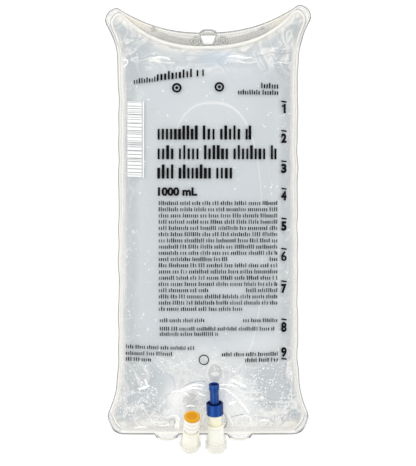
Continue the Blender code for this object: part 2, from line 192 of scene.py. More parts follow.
def add_floor():
    bm = bmesh.new()
    bmesh.ops.create_grid(bm, x_segments=1, y_segments=1, size=FLOOR_SIZE / 2)
    mesh = bpy.data.meshes.new("floor")
    bm.to_mesh(mesh)
    bm.free()
    floor = bpy.data.objects.new("floor", mesh)
    scene.collection.objects.link(floor)
    material, nodes, shader, place = new_material("floor paper")
    feed(nodes, shader, Base_Color=(0.86, 0.86, 0.86, 1.0), Roughness=0.9)
    shader.inputs["Specular IOR Level"].default_value = 0.0
    glow = nodes.add("ShaderNodeMath", {"operation": "MULTIPLY"}, {0: seen_background(nodes), 1: 0.42})
    feed(nodes, shader, Emission_Color=(1.0, 1.0, 1.0, 1.0))
    emission = nodes.add("ShaderNodeEmission", {}, {"Color": (1, 1, 1, 1), "Strength": glow})
    surface = nodes.tree.nodes["Principled BSDF"].outputs[0]
    both = nodes.add("ShaderNodeAddShader", {}, {0: Value(nodes, surface), 1: emission})
    nodes.tree.links.new(both.socket, nodes.tree.nodes["Material Output"].inputs["Surface"])
    mesh.materials.append(material)


def add_lamp(name, place, size, power):
    data = bpy.data.lights.new(name, "AREA")
    data.shape = "RECTANGLE"
    data.size, data.size_y = size
    data.energy = power
    lamp = bpy.data.objects.new(name, data)
    lamp.location = place
    lamp.rotation_euler = (-Vector(place)).to_track_quat("-Z", "Y").to_euler()
    scene.collection.objects.link(lamp)


def add_world():
    world = bpy.data.worlds.new("studio")
    world.use_nodes = True
    nodes = Nodes(world.node_tree)
    seen = seen_background(nodes)
    background = world.node_tree.nodes["Background"]
    background.inputs["Color"].default_value = (1.0, 1.0, 1.0, 1.0)
    nodes.tree.links.new((seen * 0.20 + 0.80).socket, background.inputs["Strength"])
    scene.world = world


add_camera()
add_floor()
add_world()
add_lamp("left_lamp", (-1.2, 0.35, 0.75), (0.45, 0.40), 3.6)
add_lamp("right_lamp", (1.25, 0.1, 0.70), (0.40, 0.40), 2.6)
add_lamp("top_lamp", (0.15, 1.25, 0.85), (0.60, 0.35), 3.4)
add_lamp("near_lamp", (-0.2, -1.3, 0.60), (0.50, 0.25), 2.0)
scene.view_settings.view_transform = "Standard"


# Bag: two sheets of clear PVC, cut to one outline and welded together all round. The filling
# pushes them apart, pulls the sides in and leaves the four corners as flat ears.
FLAT_WIDTH = 136.4 * MM
TOP_REACH = 146.6 * MM
BOTTOM_REACH = 136.6 * MM
TOP_CORNER_RADIUS = 8.5 * MM
BOTTOM_CORNER_RADIUS = 11.0 * MM
FILM_THICKNESS = 0.4 * MM
FILM_GAP = 0.3 * MM
SIDE_WELD_WIDTH = 2.4 * MM
BOTTOM_WELD_WIDTH = 3.2 * MM
HANGER_FLAP_WIDTH = 10.2 * MM
HANGER_FLAP_REACH = 56.0 * MM
HANGER_TAB_HEIGHT = 2.1 * MM
HANGER_TAB_HALF_WIDTH = 5.0 * MM
LOBE_SPACING = 49.2 * MM
LOBE_HALF_WIDTH = 8.0 * MM
LOBE_DEPTH = 5.6 * MM
FILLED_HALF_DEPTH = 23.8 * MM
MIDDLE_HEIGHT = 20.6 * MM
TOP_DROP = 4.5 * MM
BOTTOM_DROP = 8.6 * MM
DROP_START = 85.0 * MM
CORNER_DROP = 8.0 * MM
CORNER_DROP_START = 75.0 * MM
SIDE_PULL = 0.132
BOTTOM_SIDE_PULL = 0.17
TOP_PULL_FADE = 13.0 * MM
BOTTOM_PULL_FADE = 14.0 * MM
BOTTOM_EAR_HEIGHT = 12.0 * MM
TOP_SAG = 17.6 * MM
TOP_SKEW = 1.2 * MM
TOP_SAG_FADE = 36.0 * MM
SIDE_POWER = 3.0
END_POWER = 4.3
WELD_CURL = math.radians(25.0)
WELD_CURL_RADIUS = 5.0 * MM
SLEEVE_FOLD_RADIUS = 6.7 * MM
SLEEVE_LENGTH = 2.6 * MM
SLEEVE_WING = 1.5 * MM
SLEEVE_OPENING_POWER = 1.5
SLEEVE_RADIUS = 5.9 * MM
PORT_GROUP_X = -3.3 * MM
PORT_SPACING = 17.5 * MM
HALF_WIDTH = FLAT_WIDTH / 2
CHAMBER_HALF_WIDTH = HALF_WIDTH - SIDE_WELD_WIDTH
FOLD_START = BOTTOM_REACH - BOTTOM_WELD_WIDTH
CHAMBER_CORNER = 11.0 * MM
FILM_GLOW = 0.14


class Port:
    def __init__(self, across, elevation, lean, reach):
        self.across = across
        self.elevation = math.radians(elevation)
        self.lean = math.radians(lean)
        self.reach = reach
        self.turn = math.pi - self.elevation - WELD_CURL
        self.folded = reach + SLEEVE_FOLD_RADIUS * self.turn


SPIKE_PORT = Port(PORT_GROUP_X + PORT_SPACING / 2, 24.0, -2.0, 6.4 * MM)
INJECTION_PORT = Port(PORT_GROUP_X - PORT_SPACING / 2, 42.0, 3.0, 5.0 * MM)


def smooth(t):
    t = np.clip(t, 0.0, 1.0)
    return t * t * (3.0 - 2.0 * t)


def arch(t, power=2.0):
    return np.sqrt(np.maximum(1.0 - np.abs(t) ** power, 0.0))


def corner_cut(u, radius):
    past = np.maximum(np.abs(u) - (HALF_WIDTH - radius), 0.0)
    return radius - np.sqrt(np.maximum(radius * radius - past * past, 0.0))


def top_edge(u):
    tab = HANGER_TAB_HEIGHT * arch(u / HANGER_TAB_HALF_WIDTH)
    return TOP_REACH - corner_cut(u, TOP_CORNER_RADIUS) + tab


def top_weld(u):
    flap = (HANGER_FLAP_WIDTH - SIDE_WELD_WIDTH) * np.maximum(1.0 - np.abs(u / HANGER_FLAP_REACH) ** 3.2, 0.0)
    return TOP_REACH - corner_cut(u, TOP_CORNER_RADIUS) - SIDE_WELD_WIDTH - flap


def bottom_weld(u):
    return corner_cut(u, BOTTOM_CORNER_RADIUS) - FOLD_START


def bottom_edge(u):
    from_lobe = np.abs(u - PORT_GROUP_X) - LOBE_SPACING / 2
    return bottom_weld(u) - BOTTOM_WELD_WIDTH - LOBE_DEPTH * arch(from_lobe / LOBE_HALF_WIDTH)


def side_pull(v):
    from_top = np.maximum(TOP_REACH - TOP_CORNER_RADIUS - v, 0.0)
    from_bottom = np.maximum(BOTTOM_REACH - BOTTOM_EAR_HEIGHT + v, 0.0)
    upper = 1.0 - np.exp(-(from_top / TOP_PULL_FADE) ** 1.3)
    lower = 1.0 - np.exp(-(from_bottom / BOTTOM_PULL_FADE) ** 1.3)
    return np.where(v > 0.0, upper, BOTTOM_SIDE_PULL + (1.0 - BOTTOM_SIDE_PULL) * lower)


def top_sag(u, v):
    across = np.maximum(1.0 - np.abs(u / (HALF_WIDTH - TOP_CORNER_RADIUS)) ** 2.3, 0.0)
    skew = TOP_SKEW * u / HALF_WIDTH * smooth(v / TOP_REACH)
    return TOP_SAG * across * np.exp(-((TOP_REACH - v) / TOP_SAG_FADE) ** 2) - skew


def middle_height(u, v):
    top = TOP_DROP * smooth((v - DROP_START) / (TOP_REACH - DROP_START))
    bottom = BOTTOM_DROP * smooth((-v - DROP_START) / (FOLD_START - DROP_START))
    corner = smooth((np.abs(v) - CORNER_DROP_START) / (BOTTOM_REACH - CORNER_DROP_START))
    return MIDDLE_HEIGHT - top - bottom - CORNER_DROP * corner * np.abs(u / HALF_WIDTH) ** 2.5


def half_depth(u, v, inset=0.0):
    upper = top_weld(u) - inset
    lower = bottom_weld(u) + inset
    along = (2.0 * v - upper - lower) / (upper - lower)
    across = u / (CHAMBER_HALF_WIDTH - inset)
    return (FILLED_HALF_DEPTH - inset) * arch(across, SIDE_POWER) * arch(along, END_POWER)


def ripple(t, wavelength, seed):
    """An uneven wave between about -1 and 1."""
    random = np.random.default_rng(seed)
    wave = 0.0 * t
    for stretch in (0.62, 0.83, 1.0, 1.31, 1.77):
        wave = wave + np.sin(2.0 * math.pi * (t / (wavelength * stretch) + random.random()))
    return wave / 3.0


def waver(u, v):
    """How much the pull of the filling makes the side edges waver, as a share of the width."""
    inner = smooth((TOP_REACH - 12 * MM - v) / 0.02) * smooth((v + BOTTOM_REACH - 14 * MM) / 0.02)
    wave = np.where(u > 0.0, ripple(v, 0.027, 21), ripple(v, 0.031, 22))
    return 0.0055 * wave * inner * np.abs(u / HALF_WIDTH) ** 3


# the bag lies centred over the origin: its chamber's lower weld says how far it was moved for that
bag_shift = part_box("solution_fill")[0][1] + FOLD_START - 2 * FILM_GAP


def sheet_frame(u, v):
    """Points midway between the films, and the direction out of the front film."""
    flat = np.maximum(v, bottom_weld(u))
    angle = np.minimum((flat - v) / WELD_CURL_RADIUS, WELD_CURL)
    straight = np.maximum(flat - v - WELD_CURL_RADIUS * WELD_CURL, 0.0)
    x = u * (1.0 - SIDE_PULL * side_pull(v) + waver(u, v))
    y = flat - top_sag(u, v) - WELD_CURL_RADIUS * np.sin(angle) - straight * np.cos(angle)
    z = middle_height(u, flat) + WELD_CURL_RADIUS * (1.0 - np.cos(angle)) + straight * np.sin(angle)
    return np.stack((x, y + bag_shift, z), -1), np.stack((0.0 * u, np.sin(angle), np.cos(angle)), -1)


def sleeve_frame(port, u, along):
    """The same on the tongue of film that folds back and carries a port tube."""
    start = sheet_frame(u, bottom_edge(np.full_like(u, port.across)))[0]
    out = np.minimum(along, port.reach)
    angle = WELD_CURL + np.clip((along - out) / SLEEVE_FOLD_RADIUS, 0.0, port.turn)
    straight = np.maximum(along - port.folded, 0.0)
    run = out * math.cos(WELD_CURL) + SLEEVE_FOLD_RADIUS * (np.sin(angle) - math.sin(WELD_CURL))
    rise = out * math.sin(WELD_CURL) + SLEEVE_FOLD_RADIUS * (math.cos(WELD_CURL) - np.cos(angle))
    x = start[..., 0] + straight * math.tan(port.lean)
    y = start[..., 1] - run - straight * np.cos(angle)
    z = start[..., 2] + rise + straight * np.sin(angle)
    return np.stack((x, y, z), -1), np.stack((0.0 * x, np.sin(angle), np.cos(angle)), -1)


def port_matrix(port):
    across = np.array([port.across, port.across])
    ends = sleeve_frame(port, across, np.array([port.folded, port.folded + SLEEVE_LENGTH]))[0]
    base, end = Vector(ends[0]), Vector(ends[1])
    return Matrix.Translation(base) @ (end - base).to_track_quat("Z", "Y").to_matrix().to_4x4()


def sleeve_columns(port, steps):
    """Places across a sleeve, evenly spaced round the tube."""
    round_tube = SLEEVE_RADIUS * np.sin(np.linspace(-math.pi / 2, math.pi / 2, steps))
    wing = SLEEVE_RADIUS + SLEEVE_WING
    half_way = (wing + SLEEVE_RADIUS) / 2
    return port.across + np.concatenate(([-wing, -half_way], round_tube, [half_way, wing]))


def film_columns(count):
    """Places across the film, closest together at the side welds and round the port tubes."""
    chamber = CHAMBER_HALF_WIDTH * np.sin(np.linspace(-math.pi / 2, math.pi / 2, count))
    weld = np.linspace(CHAMBER_HALF_WIDTH, HALF_WIDTH, 6)[1:]
    sleeves = [sleeve_columns(port, 13) for port in (INJECTION_PORT, SPIKE_PORT)]
    clear = np.ones(len(chamber), bool)
    for places in sleeves:
        clear &= (chamber < places[0] - 0.3 * MM) | (chamber > places[-1] + 0.3 * MM)
    return np.sort(np.concatenate([chamber[clear], -weld, weld] + sleeves))


def film_rows(u, count):
    """Places along the film for every column, from the bottom edge to the top edge."""
    share = 0.5 - 0.5 * np.cos(np.linspace(0.0, math.pi, count))
    chamber = bottom_weld(u)[:, None] + (top_weld(u) - bottom_weld(u))[:, None] * share
    weld = np.linspace(0.0, 1.0, 7)[:-1]
    flap = np.linspace(0.0, 1.0, 9)[1:]
    below = bottom_edge(u)[:, None] + (bottom_weld(u) - bottom_edge(u))[:, None] * weld
    above = top_weld(u)[:, None] + (top_edge(u) - top_weld(u))[:, None] * flap
    return np.concatenate((below, chamber, above), 1)


def fold(u, v, start, end, width, height):
    """A long fold between two places on the film; a height below 0 is a valley."""
    (ax, ay), (bx, by) = start, end
    length = math.hypot(bx - ax, by - ay)
    along = ((u - ax) * (bx - ax) + (v - ay) * (by - ay)) / length
    across = ((v - ay) * (bx - ax) - (u - ax) * (by - ay)) / length
    bowed = across + 0.12 * length * np.sin(math.pi * np.clip(along / length, 0.0, 1.0))
    return height * arch(2.0 * along / length - 1.0) * np.exp(-((bowed / width) ** 2))


def weld_distance(u, v):
    """How far a place lies inside the chamber; below 0 on the welds, the flap and the ears."""
    side = CHAMBER_HALF_WIDTH - np.abs(u)
    end = np.minimum(top_weld(u) - v, v - bottom_weld(u))
    in_corner = (side < CHAMBER_CORNER) & (end < CHAMBER_CORNER)
    corner = CHAMBER_CORNER - np.hypot(CHAMBER_CORNER - side, CHAMBER_CORNER - end)
    return np.where(in_corner, corner, np.minimum(side, end))


def rim_distance(u, v):
    """How far a place lies from the cut edge of the film."""
    ends = []
    for edge, gap in ((top_edge, top_edge(u) - v), (bottom_edge, v - bottom_edge(u))):
        slope = (edge(u + 0.2 * MM) - edge(u - 0.2 * MM)) / (0.4 * MM)
        ends.append(gap / np.sqrt(1.0 + np.minimum(slope * slope, 9.0)))
    return np.minimum(HALF_WIDTH - np.abs(u), np.minimum(*ends))


# Each fold: start and end across and along the film, half-width and height, in millimetres.
FOLDS = (
    ((-66, 141), (-40, 118), 2.2, 1.0),
    ((-64, 136), (-52, 104), 2.0, 0.9),
    ((-58, 141), (-24, 124), 2.4, -0.9),
    ((66, 141), (38, 119), 2.4, 1.0),
    ((63, 135), (50, 100), 2.2, 0.9),
    ((58, 141), (22, 125), 2.0, -0.9),
    ((-38, 128), (-8, 124), 1.8, 0.8),
    ((6, 126), (44, 123), 2.0, 0.9),
    ((-44, 120), (-14, 117), 1.6, 0.5),
    ((10, 119), (36, 114), 1.6, 0.5),
    ((-64, -128), (-40, -108), 2.4, 1.0),
    ((-58, -131), (-26, -114), 2.0, -0.9),
    ((-62, -120), (-54, -90), 2.2, 0.8),
    ((64, -128), (38, -110), 2.2, 1.0),
    ((57, -131), (28, -113), 2.0, -0.9),
    ((62, -119), (53, -88), 2.2, 0.8),
    ((-44, -128), (-24, -96), 2.0, 0.8),
    ((-36, -129), (-30, -104), 1.8, -0.8),
    ((30, -128), (20, -98), 2.0, 0.8),
    ((40, -128), (46, -104), 2.0, 0.7),
    ((-20, -110), (-26, -86), 2.4, 0.6),
    ((16, -108), (30, -88), 2.4, 0.7),
)


def wrinkles(u, v):
    """Height of the front film's puckers and folds above its smooth form."""
    side = np.maximum(CHAMBER_HALF_WIDTH - np.abs(u), 0.0)
    top = np.maximum(top_weld(u) - v, 0.0)
    bottom = np.maximum(v - bottom_weld(u), 0.0)
    hand = np.where(u > 0.0, 1.0, 0.0)
    beside = ripple(v + 0.004 * ripple(u, 0.03, 5), 0.013, 1) * hand + ripple(v, 0.015, 2) * (1.0 - hand)
    height = 0.34 * beside * (side / 0.004) * np.exp(1.0 - side / 0.004) * 0.8
    height += 0.42 * ripple(u + 0.3 * v, 0.016, 3) * (top / 0.006) * np.exp(1.0 - top / 0.006) * 0.8
    height += 0.46 * ripple(u - 0.2 * v, 0.012, 4) * (bottom / 0.006) * np.exp(1.0 - bottom / 0.006) * 0.8
    lower = smooth((-v - 0.085) / 0.035)
    height += 0.30 * lower * ripple(u + 0.4 * v, 0.017, 6) * ripple(v - 0.5 * u, 0.014, 7)
    height += 0.10 * ripple(u + 0.2 * v, 0.031, 8) * ripple(v - 0.3 * u, 0.040, 9)
    for (ax, ay), (bx, by), width, rise in FOLDS:
        ends = (ax * MM, ay * MM), (bx * MM, by * MM)
        height += fold(u, v, *ends, width * MM, rise)
    return height * MM * smooth(weld_distance(u, v) / 0.004)


def film_points(u, v, side):
    middle, out = sheet_frame(u, v)
    depth = half_depth(u, v) + FILM_GAP / 2
    if side > 0:
        depth = depth + wrinkles(u, v)
    points = middle + out * side * depth[..., None]
    points[..., 2] = np.maximum(points[..., 2], FILM_THICKNESS)
    return points


def sleeve_points(port, u, along, side):
    opened = smooth((along - port.reach) / (port.folded - port.reach)) ** SLEEVE_OPENING_POWER
    middle, out = sleeve_frame(port, u, along)
    depth = SLEEVE_RADIUS * arch((u - port.across) / SLEEVE_RADIUS) * opened + FILM_GAP / 2
    return middle + out * side * depth[..., None]


def grid_faces(columns, rows, first, flip):
    i, j = np.meshgrid(np.arange(columns - 1), np.arange(rows - 1), indexing="ij")
    corner = first + i * rows + j
    faces = np.stack((corner, corner + rows, corner + rows + 1, corner + 1), -1).reshape(-1, 4)
    return faces[:, ::-1] if flip else faces


def mesh_piece(name, points, faces, layers=None):
    """A mesh from arrays; layers holds its named UV maps, a pair of numbers for each point."""
    mesh = bpy.data.meshes.new(name)
    mesh.from_pydata(points.tolist(), [], faces.tolist())
    corners = np.empty(len(mesh.loops), np.int32)
    mesh.loops.foreach_get("vertex_index", corners)
    for layer_name, pairs in (layers or {}).items():
        layer = mesh.uv_layers.new(name=layer_name)
        layer.data.foreach_set("uv", pairs[corners].astype(np.float32).ravel())
    bm = bmesh.new()
    bm.from_mesh(mesh)
    bmesh.ops.remove_doubles(bm, verts=bm.verts, dist=0.02 * MM)
    bm.to_mesh(mesh)
    bm.free()
    mesh.shade_smooth()
    piece = bpy.data.objects.new(name, mesh)
    scene.collection.objects.link(piece)
    return piece


def apply_modifiers(piece):
    """Turn a piece's modifiers into plain mesh."""
    graph = bpy.context.evaluated_depsgraph_get()
    mesh = bpy.data.meshes.new_from_object(piece.evaluated_get(graph))
    piece.modifiers.clear()
    piece.data = mesh


def film_layers(u, v, edge=None, weld=None):
    """UV maps of the film: its place as it was cut, and its distance from the edge and the weld."""
    edge = rim_distance(u, v) if edge is None else edge
    weld = weld_distance(u, v) if weld is None else weld
    return {"flat": np.stack((u, v), -1), "rim": np.stack((edge, weld), -1)}


def add_film(name, side, count, rows, material):
    u = film_columns(count)
    v = film_rows(u, rows)
    across = np.repeat(u[:, None], v.shape[1], 1)
    points = [film_points(across, v, side).reshape(-1, 3)]
    places = [np.stack((across, v, rim_distance(across, v), weld_distance(across, v))).reshape(4, -1)]
    faces = [grid_faces(*v.shape, 0, side < 0)]
    first = v.size
    for port in (INJECTION_PORT, SPIKE_PORT):
        tongue = u[np.abs(u - port.across) < SLEEVE_RADIUS + SLEEVE_WING + 0.1 * MM]
        along = np.linspace(port.folded + SLEEVE_LENGTH, 0.0, 40)
        tongue_u, tongue_along = np.meshgrid(tongue, along, indexing="ij")
        sleeve = sleeve_points(port, tongue_u, tongue_along, side)
        sleeve[:, -1] = film_points(tongue, bottom_edge(tongue), side)
        points.append(sleeve.reshape(-1, 3))
        edge = SLEEVE_RADIUS + SLEEVE_WING - np.abs(tongue_u - port.across)
        edge = np.minimum(edge, port.folded + SLEEVE_LENGTH - tongue_along)
        tongue_v = bottom_edge(tongue_u) - tongue_along
        places.append(np.stack((tongue_u, tongue_v, edge, 0.0 * edge - SLEEVE_RADIUS)).reshape(4, -1))
        faces.append(grid_faces(*tongue_u.shape, first, side < 0))
        first += tongue_u.size
    layers = film_layers(*np.concatenate(places, 1))
    film = mesh_piece(name, np.concatenate(points), np.concatenate(faces), layers)
    film.data.materials.append(material)
    shell = film.modifiers.new("thickness", "SOLIDIFY")
    shell.thickness = FILM_THICKNESS
    shell.offset = 1.0
    shell.use_even_offset = True
    apply_modifiers(film)
    return film


def distances(nodes):
    """Distance from the cut edge and from the weld, in millimetres, read from the film's UV map."""
    rim = nodes.add("ShaderNodeUVMap", {"uv_map": "rim"}, {})
    return rim.part("X") * 1000.0, rim.part("Y") * 1000.0


def line(value, middle, width):
    """1 on a soft line where the value passes the middle, falling to 0 at the width."""
    return (1.0 - (value - middle).math("ABSOLUTE") / width).clamped()


def patch(x, y, middle, reach):
    """A soft oval, 1 in its middle and 0 at its reach."""
    across = (x - middle[0]) / reach[0]
    along = (y - middle[1]) / reach[1]
    return (1.0 - across * across - along * along).clamped()


def film_material():
    material, nodes, shader, place = new_material("clear PVC film")
    edge, weld = distances(nodes)
    x, y = place.part("X") * 1000.0, place.part("Y") * 1000.0
    grain = nodes.noise(place, 260.0, 3.0)
    cloud = nodes.noise(place, 45.0, 2.0)
    uneven = (cloud - 0.5) * 0.6
    inside = (weld * 2.0 + 0.5).clamped()
    outside = 1.0 - inside
    upper = (y / 25.0).clamped()
    wide = (1.0 - ((x / 60.0) * (x / 60.0)) ** 2.5).clamped()
    sleeve = ((-5.7 - weld) * 10.0).clamped() * (y / -100.0).math("GREATER_THAN", 1.0)
    ear = ((x.math("ABSOLUTE") - 57.0) * 0.5).clamped() * ((y.math("ABSOLUTE") - 120.0) * 0.2).clamped()
    # the flap stands in the shade of the filled chamber next to it
    shaded = ((weld + 6.2 + (cloud - 0.5) * 3.0) * 1.5).clamped() * outside * upper * wide
    tone = 0.80 + cloud * 0.14 - upper * wide * 0.28 - shaded * 0.22 - ear * 0.14
    alpha = 0.035 + upper * wide * 0.155 + shaded * 0.10 + ear * 0.06 + (grain - 0.5) * 0.012
    tone = tone * outside + inside * 0.90
    alpha = alpha * outside + inside * (0.06 + (1.0 - weld / 20.0).clamped() * 0.08)
    flap_only = outside * upper * (edge / 2.0).clamped()
    # painted highlight: the welded strip is painted bright right up to the chamber, and only along its middle
    # on the lobes and flap
    narrow = ((weld + 3.4) * 3.0).clamped() * ((1.3 - weld) / 3.2).clamped() * (1.0 - ear)
    middle = line(edge + uneven * 0.8, 1.5, 0.8) * (0.35 + upper * 0.65)
    rim = line(edge, 0.15, 0.75)
    crest = 0.35 + (upper * wide).math("MAXIMUM", ear) * 0.65
    lobe = ((-3.6 - weld) * 2.0).clamped() * (y / -100.0).math("GREATER_THAN", 1.0) * (1.0 - sleeve)
    strip = (narrow * ((edge - 0.4) * 2.5).clamped() * (1.0 - upper * wide)).math("MAXIMUM", middle)
    # tones laid over the film, in turn: a painted shade line in the crease along the chamber's edge under the
    # flap and by the ears, a painted highlight just inside the weld all round, a wider painted highlight
    # below the flap, two grey lines on the lobes, the painted highlight of the welded strip, and the grey cut
    # edge
    for mask, level, cover in (
        (line(weld + uneven * 0.4, -0.35, 0.6) * (upper * wide).math("MAXIMUM", ear * 0.8), 0.15, 0.60),
        (line(weld + uneven, 0.9, 1.2) * crest, 1.0, 0.85),
        (line(weld + uneven, 2.2, 2.6) * upper * wide, 1.0, 0.75),
        (line(edge, 1.9, 0.5) * lobe, 0.40, 0.40),
        (line(edge, 0.65, 0.8) * lobe, 0.36, 0.50),
        (strip, 1.0, 0.66),
        (rim * (1.0 - sleeve * 0.92), 0.26, 0.72),
    ):
        tone = tone * (1.0 - mask) + mask * level
        alpha = alpha * (1.0 - mask) + mask * cover
    colour = nodes.ramp(tone, (0.0, (0.0, 0.0, 0.0)), (0.5, (0.485, 0.50, 0.515)), (1.0, (1.0, 0.99, 0.955)))
    colour = nodes.mix(flap_only * wide * 0.35, colour, (0.80, 0.76, 0.64))
    cream = (patch(x, y, (-44.0, 140.0), (20.0, 14.0)) + patch(x, y, (42.0, 142.0), (18.0, 12.0))).clamped()
    colour = nodes.mix(cream * flap_only * (cloud * 2.2 - 0.5).clamped(), colour, (0.93, 0.86, 0.70))
    grip = sleeve * ((edge - 1.4) * 1.5).clamped()
    colour = nodes.mix(grip.math("MAXIMUM", sleeve * 0.8), colour, (1.0, 0.985, 0.90))
    alpha = alpha * (1.0 - grip) + grip * (0.42 + line(edge, 1.9, 0.6) * 0.2)
    dimple = nodes.noise(place, 150.0, 3.0, 0.6)
    facet = nodes.ramp(nodes.noise(place, 330.0, 1.0, 0.8), (0.46, 0.0), (0.52, 1.0), (0.56, 0.0))
    colour = nodes.mix(facet * lobe * 0.3, colour, (0.22, 0.24, 0.25))
    alpha = alpha + lobe * (0.03 + facet * 0.10)
    feed(
        nodes,
        shader,
        Base_Color=colour,
        Roughness=0.08 + grain * 0.08,
        Alpha=alpha.clamped(),
        Normal=nodes.bump(dimple, 0.45 * MM),
        IOR=1.5,
    )
    # painted glow: the bright strip and the band along the weld also glow, except at the cut edge, on the
    # sleeves and partly on the ears
    along_weld = line(weld + uneven, 1.2, 1.4) * crest
    lit = (strip.math("MAXIMUM", along_weld) - rim - sleeve - ear * 0.4).clamped()
    feed(nodes, shader, Emission_Color=nodes.mix(lit, (0.0, 0.0, 0.0), (1.0, 0.985, 0.93)))
    shader.inputs["Emission Strength"].default_value = FILM_GLOW
    return material


clear_film = film_material()
front = add_film("clear_front_film", 1, 128, 240, clear_film)
back = add_film("clear_back_film", -1, 90, 160, clear_film)
for film, node in ((front, "front_film"), (back, "back_film")):
    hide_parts(node)
    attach(film, "bag")


# Hanger flap: the slot that the bag hangs on is punched through both films. The tool that welds the PVC
# also presses a rim round the slot, a small tab above it and the marks beside it.
SLOT = ((-4.9, 0.0), (4.9, 0.0), (2.8, -5.4), (-2.8, -5.4))
SLOT_BELOW_EDGE = 2.0


def slot_place(x, y):
    """Place in the bag of a point given in millimetres from the middle of the slot's upper side."""
    return x * MM, TOP_REACH - TOP_SAG + bag_shift + (y - SLOT_BELOW_EDGE) * MM


def punch_slot(film):
    bm = bmesh.new()
    ends = []
    for level in (-0.05, 0.1):
        ends.append([bm.verts.new((*slot_place(x, y), level)) for x, y in SLOT])
    bm.faces.new(ends[0])
    bm.faces.new(ends[1])
    for step in range(len(SLOT)):
        after = (step + 1) % len(SLOT)
        bm.faces.new((ends[0][step], ends[0][after], ends[1][after], ends[1][step]))
    bmesh.ops.recalc_face_normals(bm, faces=bm.faces)
    mesh = bpy.data.meshes.new("slot_cutter")
    bm.to_mesh(mesh)
    bm.free()
    cutter = bpy.data.objects.new("slot_cutter", mesh)
    scene.collection.objects.link(cutter)
    hole = film.modifiers.new("slot", "BOOLEAN")
    hole.operation = "DIFFERENCE"
    hole.object = cutter
    apply_modifiers(film)
    bpy.data.objects.remove(cutter)


def flat_place(x, y):
    """Where on the cut film a place near its top, seen from above, lies."""
    u, v = x, y - bag_shift
    for _ in range(30):
        u = x / (1.0 - SIDE_PULL * float(side_pull(v)))
        v = y - bag_shift + float(top_sag(u, v))
    return u, v


def add_beads(name, paths, radius, material, rise):
    """Round beads along paths over the front film; each path is a list of places and a closed flag."""
    curve = bpy.data.curves.new(name, "CURVE")
    curve.dimensions = "3D"
    curve.bevel_depth = radius * MM
    curve.bevel_resolution = 2
    curve.use_fill_caps = True
    for places, closed in paths:
        spline = curve.splines.new("POLY")
        spline.points.add(len(places) - 1)
        spline.use_cyclic_u = closed
        for point, (x, y) in zip(spline.points, places):
            u, v = flat_place(x, y)
            top = film_points(np.array([u]), np.array([v]), 1)[0]
            point.co = (x, y, top[2] + FILM_THICKNESS + (rise - radius * 0.4) * MM, 1.0)
    path = bpy.data.objects.new(name, curve)
    scene.collection.objects.link(path)
    mesh = bpy.data.meshes.new_from_object(path.evaluated_get(bpy.context.evaluated_depsgraph_get()))
    bpy.data.objects.remove(path)
    mesh.shade_smooth()
    mesh.materials.clear()
    mesh.materials.append(material)
    piece = bpy.data.objects.new(name, mesh)
    scene.collection.objects.link(piece)
    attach(piece, "bag")
    return piece


def ring_path(px, py, radius):
    middle = from_photo(px, py)
    turns = [2.0 * math.pi * step / 20 for step in range(20)]
    reach = radius * MM
    return [(middle[0] + reach * math.cos(t), middle[1] + reach * math.sin(t)) for t in turns], True


def stroke_path(*pixels):
    return [from_photo(*pixel) for pixel in pixels], False


def bead_material(name, low, high):
    material, nodes, shader, place = new_material(name)
    cloud = nodes.noise(place, 400.0, 2.0)
    feed(nodes, shader, Base_Color=nodes.mix(cloud, low, high))
    feed(nodes, shader, Roughness=0.14 + cloud * 0.1, Alpha=0.55 + cloud * 0.4)
    return material


for film in (front, back):
    punch_slot(film)

rim = [slot_place(x * 1.13, y) for x, y in ((-4.9, 0.5), (4.9, 0.5), (2.9, -5.9), (-2.9, -5.9))]
tab = []
for step in range(17):
    across = math.cos(math.pi * step / 16)
    tab.append(slot_place(5.2 * across, 2.1 + 1.9 * math.sqrt(1.0 - across * across)))
PRESSED = (
    ("slot_rim", 0.36, [(rim, True), stroke_path((203.0, 33.2), (209.0, 33.9), (215.6, 33.2))]),
    ("tab_rim", 0.34, [(tab, False)]),
    (
        "flap_marks",
        0.34,
        [
            ring_path(195.6, 40.6, 2.7),
            stroke_path((192.6, 38.6), (195.4, 42.4)),
            ring_path(223.0, 40.6, 2.7),
            stroke_path((220.6, 38.8), (225.0, 42.4)),
            stroke_path((150.6, 27.6), (153.8, 26.8), (155.6, 30.4)),
            stroke_path((152.0, 31.0), (154.4, 29.4)),
            stroke_path((259.6, 29.4), (262.6, 26.6), (264.6, 28.2)),
        ],
    ),
)
# each pressed mark is a pale bead over a wider grey bead, which shows as painted shade along both its sides
bead = bead_material("pressed bead", (0.93, 0.91, 0.84), (1.0, 0.99, 0.95))
shade_band = bead_material("pressed bead shade", (0.22, 0.24, 0.25), (0.36, 0.38, 0.39))
for name, radius, paths in PRESSED:
    add_beads(name, paths, radius, bead, 0.25)
    add_beads(name + "_groove", paths, radius + 0.22, shade_band, 0.0)


# Solution: a litre of clear liquid. It fills the bag out and lies flat on the table below.
def add_solution(count, rows):
    inset = 2 * FILM_GAP
    reach = CHAMBER_HALF_WIDTH - inset
    u = reach * np.sin(np.linspace(-math.pi / 2, math.pi / 2, count))
    share = 0.5 - 0.5 * np.cos(np.linspace(0.0, math.pi, rows))
    low, high = bottom_weld(u) + inset, top_weld(u) - inset
    v = low[:, None] + (high - low)[:, None] * share
    across = np.repeat(u[:, None], rows, 1)
    points = []
    for side in (1, -1):
        middle, out = sheet_frame(across, v)
        depth = np.maximum(half_depth(across, v, inset) - FILM_GAP / 2, 0.0)
        if side > 0:
            depth = np.maximum(depth + wrinkles(across, v), 0.0)
        depth[[0, -1], :] = 0.0
        depth[:, [0, -1]] = 0.0
        layer = middle + out * side * depth[..., None]
        layer[..., 2] = np.maximum(layer[..., 2], FILM_THICKNESS + FILM_GAP)
        points.append(layer.reshape(-1, 3))
    faces = [grid_faces(count, rows, 0, False), grid_faces(count, rows, count * rows, True)]
    layers = film_layers(np.tile(across.ravel(), 2), np.tile(v.ravel(), 2))
    return mesh_piece("solution", np.concatenate(points), np.concatenate(faces), layers)
